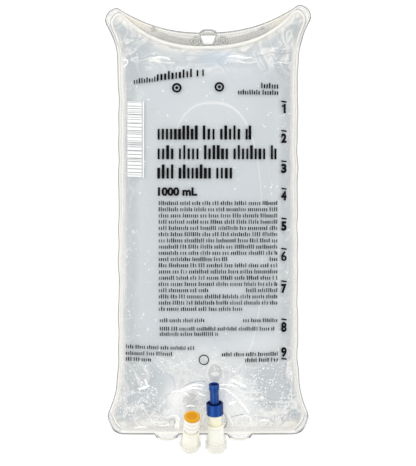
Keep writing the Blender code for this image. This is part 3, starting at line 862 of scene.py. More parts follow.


# Painted light and shade seen through the film, as darker and lighter soft patches: middle, reach
# (millimetres), colour and strength of each soft patch.
TONES = (
    ((-52.0, 110.0), (18.0, 26.0), (0.44, 0.49, 0.53), 0.9),
    ((50.0, 112.0), (17.0, 20.0), (0.47, 0.52, 0.56), 0.75),
    ((-55.0, 20.0), (9.0, 110.0), (0.56, 0.60, 0.625), 0.55),
    ((50.0, 20.0), (10.0, 110.0), (0.58, 0.62, 0.64), 0.45),
    ((3.0, 78.0), (34.0, 22.0), (0.70, 0.73, 0.755), 0.6),
    ((34.0, -76.0), (22.0, 12.0), (0.78, 0.81, 0.83), 0.7),
    ((55.5, 10.0), (6.0, 100.0), (0.53, 0.61, 0.67), 0.8),
    ((0.0, -90.0), (38.0, 19.0), (0.80, 0.82, 0.83), 0.9),
    ((-15.0, -115.0), (21.0, 21.0), (0.97, 0.98, 0.98), 1.0),
    ((19.0, -115.0), (20.0, 23.0), (0.97, 0.98, 0.98), 1.0),
    ((-45.0, -106.0), (18.0, 17.0), (0.575, 0.615, 0.645), 0.9),
    ((42.0, -99.0), (18.0, 17.0), (0.56, 0.60, 0.635), 0.9),
)


# Rings of bent light where the ports press on the film: middle, reach, width and strength.
RINGS = (
    ((4.6, -98.0), (9.0, 12.0), 0.10, 0.6),
    ((-11.3, -112.4), (6.4, 6.4), 0.15, 0.6),
)
# Broad sheens on the folds: middle, reach and strength.
SHEENS = (
    ((-28.0, 113.0), (12.0, 2.4), 0.7),
    ((-42.0, 107.0), (7.0, 2.2), 0.6),
    ((20.0, 111.0), (12.0, 3.0), 0.6),
    ((39.0, 117.0), (8.0, 2.6), 0.6),
    ((-59.0, 108.0), (4.5, 3.2), 0.9),
    ((54.0, 124.0), (4.0, 6.5), 0.7),
    ((-59.0, 124.0), (3.4, 7.0), 0.6),
    ((20.0, -100.0), (12.0, 4.5), 0.25),
    ((-20.0, -98.0), (13.0, 3.2), 0.25),
    ((-6.0, -118.0), (3.0, 8.0), 0.5),
    ((-50.0, -118.0), (8.0, 3.0), 0.7),
    ((44.0, -120.0), (10.0, 3.0), 0.7),
    ((-57.0, 60.0), (1.6, 8.0), 0.5),
    ((57.0, 30.0), (1.6, 9.0), 0.5),
    ((-57.0, -30.0), (1.6, 10.0), 0.5),
    ((57.0, -60.0), (1.6, 8.0), 0.5),
)


def oval(x, y, middle, reach):
    """1 on the oval's outline, 0 in its middle."""
    across = (x - middle[0]) / reach[0]
    along = (y - middle[1]) / reach[1]
    return (across * across + along * along) ** 0.5


PORT_GLOW = 0.075


def solution_material():
    material, nodes, shader, place = new_material("solution")
    edge, weld = distances(nodes)
    x, y = place.part("X") * 1000.0, place.part("Y") * 1000.0
    cloud = nodes.noise(place, 24.0, 3.0, 0.4)
    fine = nodes.noise(place, 90.0, 3.0, 1.4)
    flow = nodes.noise(place, 30.0, 1.5, 1.6)
    side = 65.8 - nodes.add("ShaderNodeUVMap", {"uv_map": "flat"}, {}).part("X").math("ABSOLUTE") * 1000.0
    ending = ((side - weld - 1.0) / 3.0).clamped()
    # painted light and shade: bright right at the weld, then a dark band, then the middle tone, as the
    # rounded edge of the liquid bends the light; along the ends the bright band is wider
    near = (weld + (cloud - 0.5) * 3.0) / 40.0
    colour = nodes.ramp(
        near,
        (0.0, (1.0, 0.99, 0.95)),
        (0.045, (0.94, 0.94, 0.925)),
        (0.078, (0.64, 0.67, 0.69)),
        (0.115, (0.53, 0.575, 0.60)),
        (0.21, (0.525, 0.57, 0.605)),
        (0.36, (0.635, 0.675, 0.70)),
        (0.8, (0.63, 0.675, 0.705)),
    )
    end_colour = nodes.ramp(
        near,
        (0.0, (1.0, 0.985, 0.91)),
        (0.115, (1.0, 0.985, 0.92)),
        (0.16, (0.80, 0.81, 0.80)),
        (0.27, (0.65, 0.68, 0.695)),
        (0.42, (0.59, 0.63, 0.655)),
        (0.8, (0.63, 0.675, 0.705)),
    )
    colour = nodes.mix(ending, colour, end_colour)
    # painted light and shade: the soft patches listed in TONES
    for middle, reach, tone_and_shade, strength in TONES:
        spot = patch(x + (cloud - 0.5) * 14.0, y + (fine - 0.5) * 8.0, middle, reach)
        away = ((weld - 3.0) / 5.0).clamped()
        colour = nodes.mix(spot * away * strength, colour, tone_and_shade)
    # painted light: the edge of the patch of back film that rests on the table shows through as a pale ring,
    # painted on the solution
    across = ((x - 3.0) / 32.5).math("ABSOLUTE") ** 2.7
    along = ((y + 7.0) / 90.0).math("ABSOLUTE") ** 2.7
    reach = (across + along) ** (1.0 / 2.7) + (fine - 0.5) * 0.012
    ends = ((y + 7.0).math("ABSOLUTE") / 90.0) ** 3.0
    right = (x / 30.0).clamped() * 0.35
    border = line(reach, 1.0, 0.016) * (0.1 + right + ends * 0.6).clamped()
    colour = nodes.mix(border, colour, (0.93, 0.93, 0.92))
    # bright curved lines and dull hollows, where folds of the film bend the light
    low = ((y + 78.0) / -24.0).clamped()
    top = ((y - 98.0) / 14.0).clamped()
    rim = (1.0 - weld / 16.0).clamped()
    busy = (low + top * 0.7 + rim * 0.6).clamped() * ((weld - 1.0) / 2.0).clamped()
    broken = nodes.ramp(nodes.noise(place, 55.0, 2.0), (0.42, 0.0), (0.56, 1.0))
    glint = line(flow, 0.5, 0.020) + line(flow, 0.60, 0.013) + line(flow, 0.41, 0.013)
    glow = line(flow, 0.52, 0.07)
    colour = nodes.mix(busy * glow * 0.5, colour, (0.90, 0.90, 0.87))
    dull = line(flow, 0.45, 0.035) + line(flow, 0.565, 0.03)
    ports = (patch(x, y, (3.0, -120.0), (38.0, 27.0)) * 2.0).clamped()
    colour = nodes.mix(busy * dull.clamped() * (0.5 - ports * 0.38), colour, (0.42, 0.46, 0.49))
    colour = nodes.mix(busy * glint.clamped() * broken, colour, (1.0, 0.99, 0.95))
    shift_x = x + (fine - 0.5) * 3.0 + (flow - 0.5) * 9.0
    shift_y = y + (fine - 0.5) * 2.0 + (cloud - 0.5) * 9.0
    for middle, reach, strength in SHEENS:
        sheen = (patch(shift_x, shift_y, middle, reach) * 3.0).clamped()
        colour = nodes.mix(sheen * broken * strength, colour, (1.0, 0.99, 0.95))
    # painted reflections: grey discs in the film's dimples over the two port heads
    for middle, reach in (((4.6, -93.8), (5.6, 7.0)), ((-11.6, -113.6), (6.0, 6.6))):
        dimple = (patch(x, y, middle, reach) * 2.5).clamped()
        colour = nodes.mix(dimple * 0.7, colour, (0.60, 0.62, 0.63))
    for middle, reach, width, strength in RINGS:
        ring = line(oval(shift_x, shift_y, middle, reach), 1.0, width) * (0.25 + broken * 0.75)
        colour = nodes.mix(ring * strength, colour, (1.0, 0.99, 0.95))
    # painted highlight: a bright ring and a glint in the reflection over the protector's head
    bell = line(oval(x, y, (4.6, -94.6), (5.2, 6.8)), 1.0, 0.16)
    colour = nodes.mix(bell * 0.8, colour, (1.0, 0.99, 0.95))
    colour = nodes.mix((patch(x, y, (4.6, -95.0), (3.0, 1.8)) * 2.0).clamped(), colour, (1.0, 0.99, 0.965))
    # a faint bluish bloom of fine dots below the hanger flap
    dots = nodes.ramp(nodes.noise(place, 1100.0, 0.0), (0.50, 0.0), (0.58, 1.0))
    bloom = patch(x, y, (6.0, 113.0), (17.0, 7.5))
    colour = nodes.mix(bloom * (0.35 + dots * 0.45), colour, (0.50, 0.62, 0.76))
    feed(
        nodes,
        shader,
        Base_Color=colour,
        Roughness=0.3,
        Normal=nodes.bump(fine, 0.5 * MM),
        Alpha=0.93 + cloud * 0.05,
        IOR=1.33,
    )
    # painted glow: the solution round the ports glows faintly, lightening it there
    feed(nodes, shader, Emission_Color=nodes.mix(ports, (0.0, 0.0, 0.0), (0.92, 0.96, 1.0)))
    shader.inputs["Emission Strength"].default_value = PORT_GLOW
    return material


solution = add_solution(120, 200)
solution.data.materials.append(solution_material())
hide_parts("solution_fill")
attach(solution, "bag")

# Light lines: folds of the film over the ports and by the flap bend the light into bright or dull lines.
# The clear PVC is thin alpha here and bends nothing, so the lines lie on the solution as fine strips.
# Each: width, brightness and the places it passes, in pixels of the photograph.
LIGHT_LINES = (
    (1.7, 1.0, ((180.5, 391), (184, 388.2), (189, 386), (194, 384.4), (199, 384.2), (205, 385.6))),
    (1.2, 1.0, ((182, 391.5), (187, 388.8), (193, 387.4), (198, 388), (204, 390))),
    (1.2, 1.0, ((171, 392), (176, 390.6), (181, 391), (186, 393), (190, 396.5))),
    (1.1, 1.0, ((197, 391.6), (201, 394), (205.5, 395.6))),
    (1.4, 1.0, ((219, 384.6), (226, 384), (234, 385.2), (241, 387))),
    (2.8, 0.8, (
        (219, 388), (225, 388.6), (231, 392.5), (236, 396.5),
        (241, 402.5), (246, 408.5), (249, 414),
    )),
    (1.7, 1.0, ((231, 378.6), (236, 381.4), (241, 384), (246.4, 386.4))),
    (1.4, 0.0, ((232, 382), (239, 386.2), (243.5, 388.6), (248.5, 388.6))),
    (1.3, 0.0, ((206, 381.5), (199, 380.6), (191, 382.4), (184, 385.6))),
    (1.6, 0.45, ((196, 368), (201, 375), (207, 379.6))),
    (1.8, 0.45, ((221, 377), (230, 377.4), (240, 371), (250, 363))),
    (3.0, 1.0, ((138, 388.6), (144, 387.6), (150, 385))),
    (1.8, 1.0, ((145, 378.6), (146.4, 382), (148, 385))),
    (1.6, 1.0, ((186, 406), (191, 405.4), (196, 406))),
    (2.0, 0.8, ((151, 421), (155, 424.4), (161, 426), (167, 425), (171, 421.4))),
    (1.8, 0.7, ((148, 416), (153, 420.6), (160, 422.8), (166, 421))),
    (1.9, 0.8, (
        (167, 417.4), (173, 415.4), (178, 416.8), (176.4, 421),
        (175.6, 427), (172.6, 431), (166, 432),
    )),
    (1.8, 0.0, ((170, 427), (169.6, 421), (173, 418.6), (174.6, 422), (173, 428))),
    (1.3, 1.0, ((180, 418), (178, 423), (178, 428), (176, 432))),
    (1.2, 1.0, ((122, 431.2), (134, 431.8), (150, 431.8), (164, 432))),
    (1.3, 0.0, ((126, 433.6), (140, 433.8), (156, 433.4), (174, 434))),
    (2.6, 0.6, ((199, 409), (204, 406), (209, 404), (206, 412), (203, 420), (205, 428))),
    (1.4, 1.0, ((196, 431.4), (201, 431), (207, 431.4))),
    (2.0, 0.0, ((222.6, 430), (226, 425), (226.4, 418), (223.6, 412))),
    (2.2, 0.7, (
        (228, 412), (230, 418), (232.6, 423), (232, 428),
        (237, 431.6), (246, 432.6), (256, 431.6),
    )),
    (1.7, 0.7, (
        (236, 426.6), (235.6, 421), (239, 416.6), (245, 415.4),
        (250.4, 417.6), (250, 423), (245.4, 427.4), (240, 428),
    )),
    (1.5, 0.6, ((239, 424), (240.4, 420), (245, 418.4), (248, 420))),
    (1.2, 0.0, ((231, 416.8), (238, 415), (244.6, 414))),
    (1.8, 0.0, ((236, 434.4), (248, 434.6), (258, 433), (262, 431.4), (268.6, 431.2))),
    (1.3, 1.0, ((264, 434.4), (274, 433), (286, 434), (295, 433.4))),
    (2.8, 1.0, ((260.6, 420.6), (264, 420), (269, 420.4))),
    (2.6, 1.0, ((229, 403.6), (233, 402), (236, 401.4))),
    (1.4, 1.0, ((120, 428.6), (126, 430), (134, 428.4), (142, 427), (147, 428))),
    (2.6, 0.6, ((290, 366), (292, 378), (291, 392), (293, 404))),
    (2.4, 0.5, ((121, 366), (120, 378), (121, 392), (118.6, 404))),
    (2.4, 0.8, ((152, 59.4), (158, 57.4), (165, 58), (171, 60.4))),
    (2.0, 0.6, ((148, 61), (156, 61.4), (166, 63.4), (176, 63))),
    (2.6, 0.8, ((228, 57), (236, 56), (244, 58.4), (252, 57.6))),
    (2.2, 0.6, ((224, 61.6), (234, 60.4), (246, 63.4), (258, 62))),
    (1.4, 1.0, ((118, 62), (123, 59.4), (128, 61.4), (125, 66.4), (120, 67.4))),
    (1.8, 0.6, ((268, 52), (276, 48.4), (284, 49.4), (292, 45.6))),
    (1.7, 0.6, ((270, 66), (278, 62.6), (288, 63.4), (296, 60))),
    (1.2, 0.0, ((262, 56), (272, 53), (284, 54), (294, 50.6))),
    (1.8, 0.6, ((290, 30), (293, 38), (292, 46), (295, 54))),
    (1.2, 0.0, ((118, 42), (122, 50), (120, 58), (123, 68))),
)
LINE_LIFT = 0.06 * MM
LINE_THICKNESS = 0.03 * MM
LINE_GLOW = 0.66


def smooth_path(places, steps=6):
    """A smooth line through the places, with its direction at each point."""
    ends = [places[0], *places, places[-1]]
    points = []
    for a, b, c, d in zip(ends, ends[1:], ends[2:], ends[3:]):
        for step in range(steps):
            t = step / steps
            weights = (
                -0.5 * t + t * t - 0.5 * t**3,
                1.0 - 2.5 * t * t + 1.5 * t**3,
                0.5 * t + 2.0 * t * t - 1.5 * t**3,
                -0.5 * t * t + 0.5 * t**3,
            )
            points.append([sum(w * q[axis] for w, q in zip(weights, (a, b, c, d))) for axis in (0, 1)])
    points.append(places[-1])
    points = np.array([from_photo(*point) for point in points])
    along = np.gradient(points, axis=0)
    return points, along / np.linalg.norm(along, axis=1)[:, None]


def surface_of(piece):
    mesh = piece.data
    places = [vertex.co for vertex in mesh.vertices]
    return BVHTree.FromPolygons(places, [face.vertices for face in mesh.polygons])


def height_on(surface, x, y):
    hit = surface.ray_cast(Vector((x, y, 0.1)), Vector((0.0, 0.0, -1.0)))[0]
    return hit.z if hit else None


def add_light_lines():
    points, faces, across = [], [], []
    for width, bright, places in LIGHT_LINES:
        path, along = smooth_path(places)
        first = len(points)
        count = 0
        for step, (place, way) in enumerate(zip(path, along)):
            taper = math.sin(math.pi * (step + 0.5) / len(path)) ** 0.5
            row = []
            for side in (-1.0, 0.0, 1.0):
                x, y = place + np.array((-way[1], way[0])) * side * width * PHOTO_SCALE * 0.5 * taper
                z = height_on(solution_surface, x, y)
                row.append((x, y, z))
            if any(z is None for _, _, z in row):
                continue
            points += [(x, y, z + LINE_LIFT) for x, y, z in row]
            across += [(abs(side), bright) for side in (-1.0, 0.0, 1.0)]
            count += 1
        for step in range(count - 1):
            for side in (0, 1):
                corner = first + step * 3 + side
                faces.append((corner + 3, corner + 4, corner + 1, corner))
    lines = mesh_piece("light_lines", np.array(points), np.array(faces), {"line": np.array(across)})
    lines.data.materials.append(line_material())
    shell = lines.modifiers.new("thickness", "SOLIDIFY")
    shell.thickness = LINE_THICKNESS
    shell.offset = 1.0
    apply_modifiers(lines)
    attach(lines, "bag")


def line_material():
    material, nodes, shader, place = new_material("bent light")
    across = nodes.add("ShaderNodeUVMap", {"uv_map": "line"}, {})
    cloud = nodes.noise(place, 220.0, 2.0)
    colour = nodes.mix(across.part("Y"), (0.36, 0.40, 0.43), (1.0, 0.995, 0.965))
    shape = (1.0 - across.part("X")).clamped()
    cover = shape * (0.45 + nodes.ramp(cloud, (0.40, 0.0), (0.58, 1.0)) * 0.5)
    feed(nodes, shader, Base_Color=colour, Alpha=cover * (0.42 + across.part("Y") * 0.5), Roughness=0.35)
    feed(nodes, shader, Emission_Color=nodes.mix(across.part("Y"), (0.0, 0.0, 0.0), (1.0, 0.99, 0.96)))
    shader.inputs["Emission Strength"].default_value = LINE_GLOW
    return material


solution_surface = surface_of(solution)
add_light_lines()


# Port tubes: two milky PVC tubes welded into the film sleeves, each with a lip at its mouth. Inside the
# right-hand one a narrower tube, closed by a thin membrane, takes the spike of an infusion set.
TURNED_STEPS = 80
SPIKE_TUBE_LENGTH = 14.0
INJECTION_TUBE_LENGTH = 12.6
TUBE_BORE_RADIUS = 4.4
TUBE_RADIUS = 5.3
TUBE_LIP_RADIUS = 5.6
SLEEVE_GRIP = 2.6
INNER_TUBE_RADIUS = 4.1
INNER_TUBE_BORE = 3.3
INNER_TUBE_END = 27.0
ROUNDING = 0.16
TUBE_GLOW = 0.07


def add_turned(name, profile, port, closed, material, rounding=ROUNDING):
    """Turn a profile of (radius, height) pairs in millimetres about a port's axis and round its edges."""
    bm = bmesh.new()
    ring = [bm.verts.new((radius * MM, 0.0, height * MM)) for radius, height in profile]
    edges = [bm.edges.new(pair) for pair in zip(ring, ring[1:])]
    if closed:
        edges.append(bm.edges.new((ring[-1], ring[0])))
    bmesh.ops.spin(
        bm,
        geom=ring + edges,
        cent=(0.0, 0.0, 0.0),
        axis=(0.0, 0.0, 1.0),
        angle=2.0 * math.pi,
        steps=TURNED_STEPS,
    )
    bmesh.ops.remove_doubles(bm, verts=bm.verts, dist=0.001 * MM)
    bmesh.ops.recalc_face_normals(bm, faces=bm.faces)
    layer = bm.loops.layers.uv.new("turn")
    for face in bm.faces:
        for loop in face.loops:
            place = loop.vert.co
            loop[layer].uv = (math.hypot(place.x, place.y) / MM, place.z / MM)
    mesh = bpy.data.meshes.new(name)
    bm.to_mesh(mesh)
    bm.free()
    mesh.transform(port_matrix(port))
    mesh.shade_smooth()
    mesh.materials.append(material)
    piece = bpy.data.objects.new(name, mesh)
    scene.collection.objects.link(piece)
    bevel = piece.modifiers.new("rounding", "BEVEL")
    bevel.width = rounding * MM
    bevel.segments = 3
    bevel.limit_method = "ANGLE"
    bevel.angle_limit = math.radians(28.0)
    bevel.harden_normals = True
    apply_modifiers(piece)
    return piece


def tube_profile(length):
    return (
        (TUBE_LIP_RADIUS, length),
        (TUBE_LIP_RADIUS, length - 1.3),
        (TUBE_RADIUS, length - 1.7),
        (TUBE_RADIUS - 0.08, length * 0.5),
        (TUBE_RADIUS, SLEEVE_GRIP + 0.4),
        (TUBE_LIP_RADIUS, SLEEVE_GRIP),
        (TUBE_LIP_RADIUS, 0.0),
        (TUBE_BORE_RADIUS, 0.0),
        (TUBE_BORE_RADIUS, length),
    )


def turned_place(nodes):
    """Radius and height on a turned piece, in millimetres."""
    turn = nodes.add("ShaderNodeUVMap", {"uv_map": "turn"}, {})
    return turn.part("X"), turn.part("Y")


def soft_plastic(name, light, dark, roughness, alpha=1.0, dents=0.03, bands=()):
    """Moulded plastic or rubber, faintly cloudy. Each band is a height, its half-width, its tone and its
    strength; on the tubes and the bushing most bands are painted shade in grooves and under lips.
    """
    material, nodes, shader, place = new_material(name)
    cloud = nodes.noise(place, 160.0, 2.0)
    fine = nodes.noise(place, 900.0, 2.0)
    radius, height = turned_place(nodes)
    colour = nodes.mix(nodes.ramp(cloud, (0.3, 0.0), (0.7, 1.0)), dark, light)
    cover = alpha + (cloud - 0.5) * 0.2
    for middle, width, tone_and_shade, strength in bands:
        band = line(height + (cloud - 0.5) * 0.4, middle, width) * strength
        colour = nodes.mix(band, colour, tone_and_shade)
        cover = cover + band * (1.0 - alpha)
    feed(nodes, shader, Base_Color=colour, Roughness=roughness + (fine - 0.5) * 0.12)
    feed(nodes, shader, Normal=nodes.bump(cloud + fine * 0.2, dents * MM))
    # painted glow: where the plastic lets light through, it glows faintly in its own colour
    if alpha < 1.0:
        feed(nodes, shader, Alpha=cover.clamped(), Emission_Color=colour)
        shader.inputs["Emission Strength"].default_value = TUBE_GLOW
    return material


# bands on the tubes: the lip a denser cream, and painted shade just under the lip and just above the grip
CREAM = (0.97, 0.945, 0.80)
milky = soft_plastic(
    "milky PVC",
    (1.0, 0.985, 0.89),
    (0.95, 0.935, 0.81),
    0.25,
    0.88,
    bands=(
        (12.1, 0.7, CREAM, 0.9),
        (10.8, 0.5, (0.74, 0.71, 0.56), 0.6),
        (2.9, 0.5, (0.74, 0.71, 0.58), 0.5),
    ),
)
clear_tube = soft_plastic(
    "clear tube PVC",
    (1.0, 1.0, 0.93),
    (0.97, 0.97, 0.88),
    0.14,
    0.82,
    bands=(
        (13.5, 0.7, CREAM, 1.0),
        (12.2, 0.5, (0.66, 0.66, 0.58), 0.6),
        (2.9, 0.5, (0.74, 0.74, 0.66), 0.5),
    ),
)
inner_wall = soft_plastic("inner tube PVC", (1.0, 0.97, 0.78), (0.97, 0.93, 0.72), 0.2, 0.9)

spike_tube = add_turned("spike_port_tube", tube_profile(SPIKE_TUBE_LENGTH), SPIKE_PORT, True, clear_tube)
injection_tube = add_turned(
    "injection_port_tube", tube_profile(INJECTION_TUBE_LENGTH), INJECTION_PORT, True, milky
)
inner_tube = add_turned(
    "spike_membrane_tube",
    (
        (0.0, 11.6),
        (INNER_TUBE_BORE, 11.6),
        (INNER_TUBE_BORE, INNER_TUBE_END),
        (INNER_TUBE_RADIUS, INNER_TUBE_END),
        (INNER_TUBE_RADIUS, 2.0),
        (INNER_TUBE_BORE, 2.0),
        (INNER_TUBE_BORE, 11.0),
        (0.0, 11.0),
    ),
    SPIKE_PORT,
    False,
    inner_wall,
)
for tube, node in (
    (spike_tube, "administration_port_tube"),
    (injection_tube, "medication_port_tube"),
    (inner_tube, "membrane_tube"),
):
    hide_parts(node)
    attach(tube, "bag")


# Port protector: a blue moulded cap, with a skirt over the membrane tube, a stem and a grip head.
# It pulls straight off the port before the spike goes in.
PROTECTOR_PROFILE = (
    (0.0, 41.2),
    (1.9, 41.2),
    (2.3, 41.6),
    (2.3, 43.2),
    (3.4, 43.2),
    (3.4, 39.6),
    (3.05, 39.4),
    (3.05, 38.3),
    (2.95, 38.1),
    (3.0, 32.0),
    (3.15, 28.9),
    (3.15, 28.2),
    (4.5, 28.2),
    (4.5, 29.55),
    (5.6, 29.55),
    (5.6, 21.65),
    (4.4, 21.65),
    (4.4, 27.3),
    (0.0, 27.3),
)


def protector_material():
    material, nodes, shader, place = new_material("blue polyethylene")
    cloud = nodes.noise(place, 420.0, 3.0)
    scuff = nodes.noise(place, 1400.0, 2.0)
    radius, height = turned_place(nodes)
    # the sides turn away into the dark, and two streaks of light run down the front
    axis = port_matrix(SPIKE_PORT)
    lean = axis.col[2].x
    aside = place.part("X") * 1000.0 - axis.translation.x * 1000.0 - height * lean
    aside = aside / radius.math("MAXIMUM", 0.5)
    streak = line(aside, -0.32, 0.26) + line(aside, 0.42, 0.2) * 0.7
    turned = ((aside.math("ABSOLUTE") - 0.55) * 2.4).clamped()
    colour = nodes.mix(cloud, (0.001, 0.032, 0.22), (0.003, 0.058, 0.32))
    colour = nodes.mix(turned * 0.85, colour, (0.001, 0.014, 0.11))
    colour = nodes.mix(streak.clamped() * 0.5, colour, (0.010, 0.19, 0.62))
    colour = nodes.mix(nodes.ramp(scuff, (0.64, 0.0), (0.74, 0.2)), colour, (0.05, 0.17, 0.50))
    shade_band = ((4.6 - radius) * 3.0).clamped() * ((31.0 - height) * 0.7).clamped()
    shade_band = shade_band * ((height - 27.9) * 4.0).clamped()
    recess = ((2.5 - radius) * 3.0).clamped() * ((height - 41.0) * 2.0).clamped()
    under_head = line(height, 39.2, 0.6)
    shade = (shade_band * 0.9 + recess * 0.75 + under_head * 0.5).clamped()
    colour = nodes.mix(shade, colour, (0.001, 0.008, 0.05))
    colour = nodes.mix(line(height, 42.6, 0.5) * 0.4, colour, (0.03, 0.16, 0.58))
    feed(nodes, shader, Base_Color=colour, Roughness=0.22 + scuff * 0.14)
    feed(nodes, shader, Normal=nodes.bump(cloud, 0.06 * MM))
    shader.inputs["Specular IOR Level"].default_value = 0.22
    return material


protector = add_turned(
    "blue_port_protector", PROTECTOR_PROFILE, SPIKE_PORT, False, protector_material(), 0.22
)
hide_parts("port_protector")
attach(protector, "protector")


# Injection port: a white ringed bushing pushed into the left-hand tube, and the amber rubber septum
# on top of it, which a needle pierces to add a drug.
bushing = add_turned(
    "ringed_bushing",
    (
        (3.2, 23.8),
        (5.15, 23.8),
        (5.15, 21.6),
        (4.6, 21.2),
        (4.6, 20.5),
        (5.15, 20.1),
        (5.15, 18.2),
        (4.6, 17.8),
        (4.6, 17.2),
        (5.35, 16.8),
        (5.35, 15.5),
        (4.1, 15.2),
        (4.1, 5.0),
        (3.2, 5.0),
    ),
    INJECTION_PORT,
    True,
    soft_plastic(
        "white polyethylene",
        (0.99, 0.975, 0.92),
        (0.97, 0.95, 0.88),
        0.34,
        # painted shade in the two grooves and under the flange
        bands=(
            (20.85, 0.6, (0.62, 0.58, 0.46), 0.75),
            (17.5, 0.55, (0.62, 0.58, 0.46), 0.75),
            (14.9, 0.6, (0.55, 0.52, 0.42), 0.7),
        ),
    ),
    0.25,
)
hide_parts("septum_bushing")
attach(bushing, "bag")

def amber_rubber():
    """The top is a deeper orange inside its raised rim."""
    material, nodes, shader, place = new_material("amber rubber")
    cloud = nodes.noise(place, 260.0, 3.0)
    radius, height = turned_place(nodes)
    colour = nodes.mix(cloud, (0.76, 0.35, 0.004), (0.82, 0.40, 0.006))
    inner = ((3.6 - radius) * 1.6).clamped() * ((height - 25.0) * 4.0).clamped()
    colour = nodes.mix(inner * 0.75, colour, (0.70, 0.27, 0.001))
    # painted highlight: a lighter orange line along the raised rim
    rim_foot = line(radius, 4.35, 0.45) * ((height - 25.2) * 4.0).clamped()
    colour = nodes.mix(rim_foot, colour, (0.90, 0.52, 0.05))
    feed(nodes, shader, Base_Color=colour, Roughness=0.38 + cloud * 0.1)
    shader.inputs["Specular IOR Level"].default_value = 0.2
    feed(nodes, shader, Normal=nodes.bump(cloud, 0.05 * MM))
    return material


septum = add_turned(
    "amber_septum",
    (
        (0.0, 25.5),
        (3.7, 25.5),
        (4.1, 25.75),
        (4.5, 25.9),
        (4.95, 25.75),
        (5.25, 25.4),
        (5.25, 24.1),
        (2.9, 24.1),
        (2.9, 20.1),
        (0.0, 20.1),
    ),
    INJECTION_PORT,
    False,
    amber_rubber(),
    0.18,
)
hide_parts("injection_septum")
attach(septum, "bag")


# Print: flexographic ink on the front film. The numbered marks down the right-hand side show what is
# left; the words are stood for by plain upright strokes, and the bar field by plain white bars.
INK_LIFT = 0.03 * MM
INK_THICKNESS = 0.05 * MM
INK_CELL = 1.0 * MM
STROKE_CUTS = 5

front_surface = surface_of(front)


def lay_on_film(name, bm, material):
    """Cut a flat drawing into small cells, lay it on the front film and give it the ink's thickness."""
    low = [min(vertex.co[axis] for vertex in bm.verts) for axis in (0, 1)]
    high = [max(vertex.co[axis] for vertex in bm.verts) for axis in (0, 1)]
    for axis in (0, 1):
        for step in range(1, int((high[axis] - low[axis]) / INK_CELL) + 1):
            place = [0.0, 0.0, 0.0]
            normal = [0.0, 0.0, 0.0]
            place[axis] = low[axis] + step * INK_CELL
            normal[axis] = 1.0
            everything = bm.verts[:] + bm.edges[:] + bm.faces[:]
            bmesh.ops.bisect_plane(bm, geom=everything, plane_co=place, plane_no=normal)
    for vertex in bm.verts:
        hit = front_surface.ray_cast(Vector((vertex.co.x, vertex.co.y, 0.1)), Vector((0.0, 0.0, -1.0)))[0]
        vertex.co.z = hit.z + INK_LIFT
    bmesh.ops.triangulate(bm, faces=bm.faces)
    mesh = bpy.data.meshes.new(name)
    bm.to_mesh(mesh)
    bm.free()
    mesh.materials.append(material)
    piece = bpy.data.objects.new(name, mesh)
    scene.collection.objects.link(piece)
    shell = piece.modifiers.new("ink", "SOLIDIFY")
    shell.thickness = INK_THICKNESS
    shell.offset = 1.0
    apply_modifiers(piece)
    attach(piece, "bag")
    return piece


def add_rectangle(bm, left, bottom, right, top, skew=0.0):
    """A rectangle given in pixels of the photograph; skew drops its left side."""
    corners = ((left, bottom + skew), (right, bottom), (right, top), (left, top + skew))
    bm.faces.new([bm.verts.new((*from_photo(*corner), 0.0)) for corner in corners])


def add_ring(bm, px, py, outer, inner=0.0, steps=40):
    """A flat ring, or a disc where it has no inner radius."""
    middle = Vector((*from_photo(px, py), 0.0))
    turns = [2.0 * math.pi * step / steps for step in range(steps)]
    rims = []
    for radius in (outer, inner):
        rim = [middle + Vector((math.cos(t), math.sin(t), 0.0)) * radius * PHOTO_SCALE for t in turns]
        rims.append([bm.verts.new(place) for place in rim] if radius else None)
    if not inner:
        bm.faces.new(rims[0])
        return
    for step in range(steps):
        after = (step + 1) % steps
        bm.faces.new((rims[0][step], rims[0][after], rims[1][after], rims[1][step]))


def add_figures(bm, words, left, bottom, right, top, weight=0.02):
    """Generic figures, fitted to a box given in pixels of the photograph."""
    curve = bpy.data.curves.new("figures", "FONT")
    curve.body = words
    curve.offset = weight
    text = bpy.data.objects.new("figures", curve)
    scene.collection.objects.link(text)
    graph = bpy.context.evaluated_depsgraph_get()
    mesh = bpy.data.meshes.new_from_object(text.evaluated_get(graph))
    bpy.data.objects.remove(text)
    points = np.empty(len(mesh.vertices) * 3)
    mesh.vertices.foreach_get("co", points)
    points = points.reshape(-1, 3)
    low, high = points.min(0), points.max(0)
    (x0, y0), (x1, y1) = from_photo(left, bottom), from_photo(right, top)
    points[:, 0] = x0 + (points[:, 0] - low[0]) / (high[0] - low[0]) * (x1 - x0)
    points[:, 1] = y0 + (points[:, 1] - low[1]) / (high[1] - low[1]) * (y1 - y0)
    mesh.vertices.foreach_set("co", points.ravel())
    bm.from_mesh(mesh)


def ink_material(name, colour, worn):
    material, nodes, shader, place = new_material(name)
    speck = nodes.noise(place, 1600.0, 2.0)
    wear = nodes.ramp(speck, (0.60, 0.0), (0.74, 1.0))
    feed(nodes, shader, Base_Color=nodes.mix(wear * 0.15, colour, worn), Roughness=0.6 + speck * 0.15)
    shader.inputs["Specular IOR Level"].default_value = 0.05
    return material


black_ink = ink_material("black ink", (0.003, 0.003, 0.004), (0.06, 0.06, 0.07))
white_ink = ink_material("white ink", (0.97, 0.98, 0.98), (0.80, 0.83, 0.85))

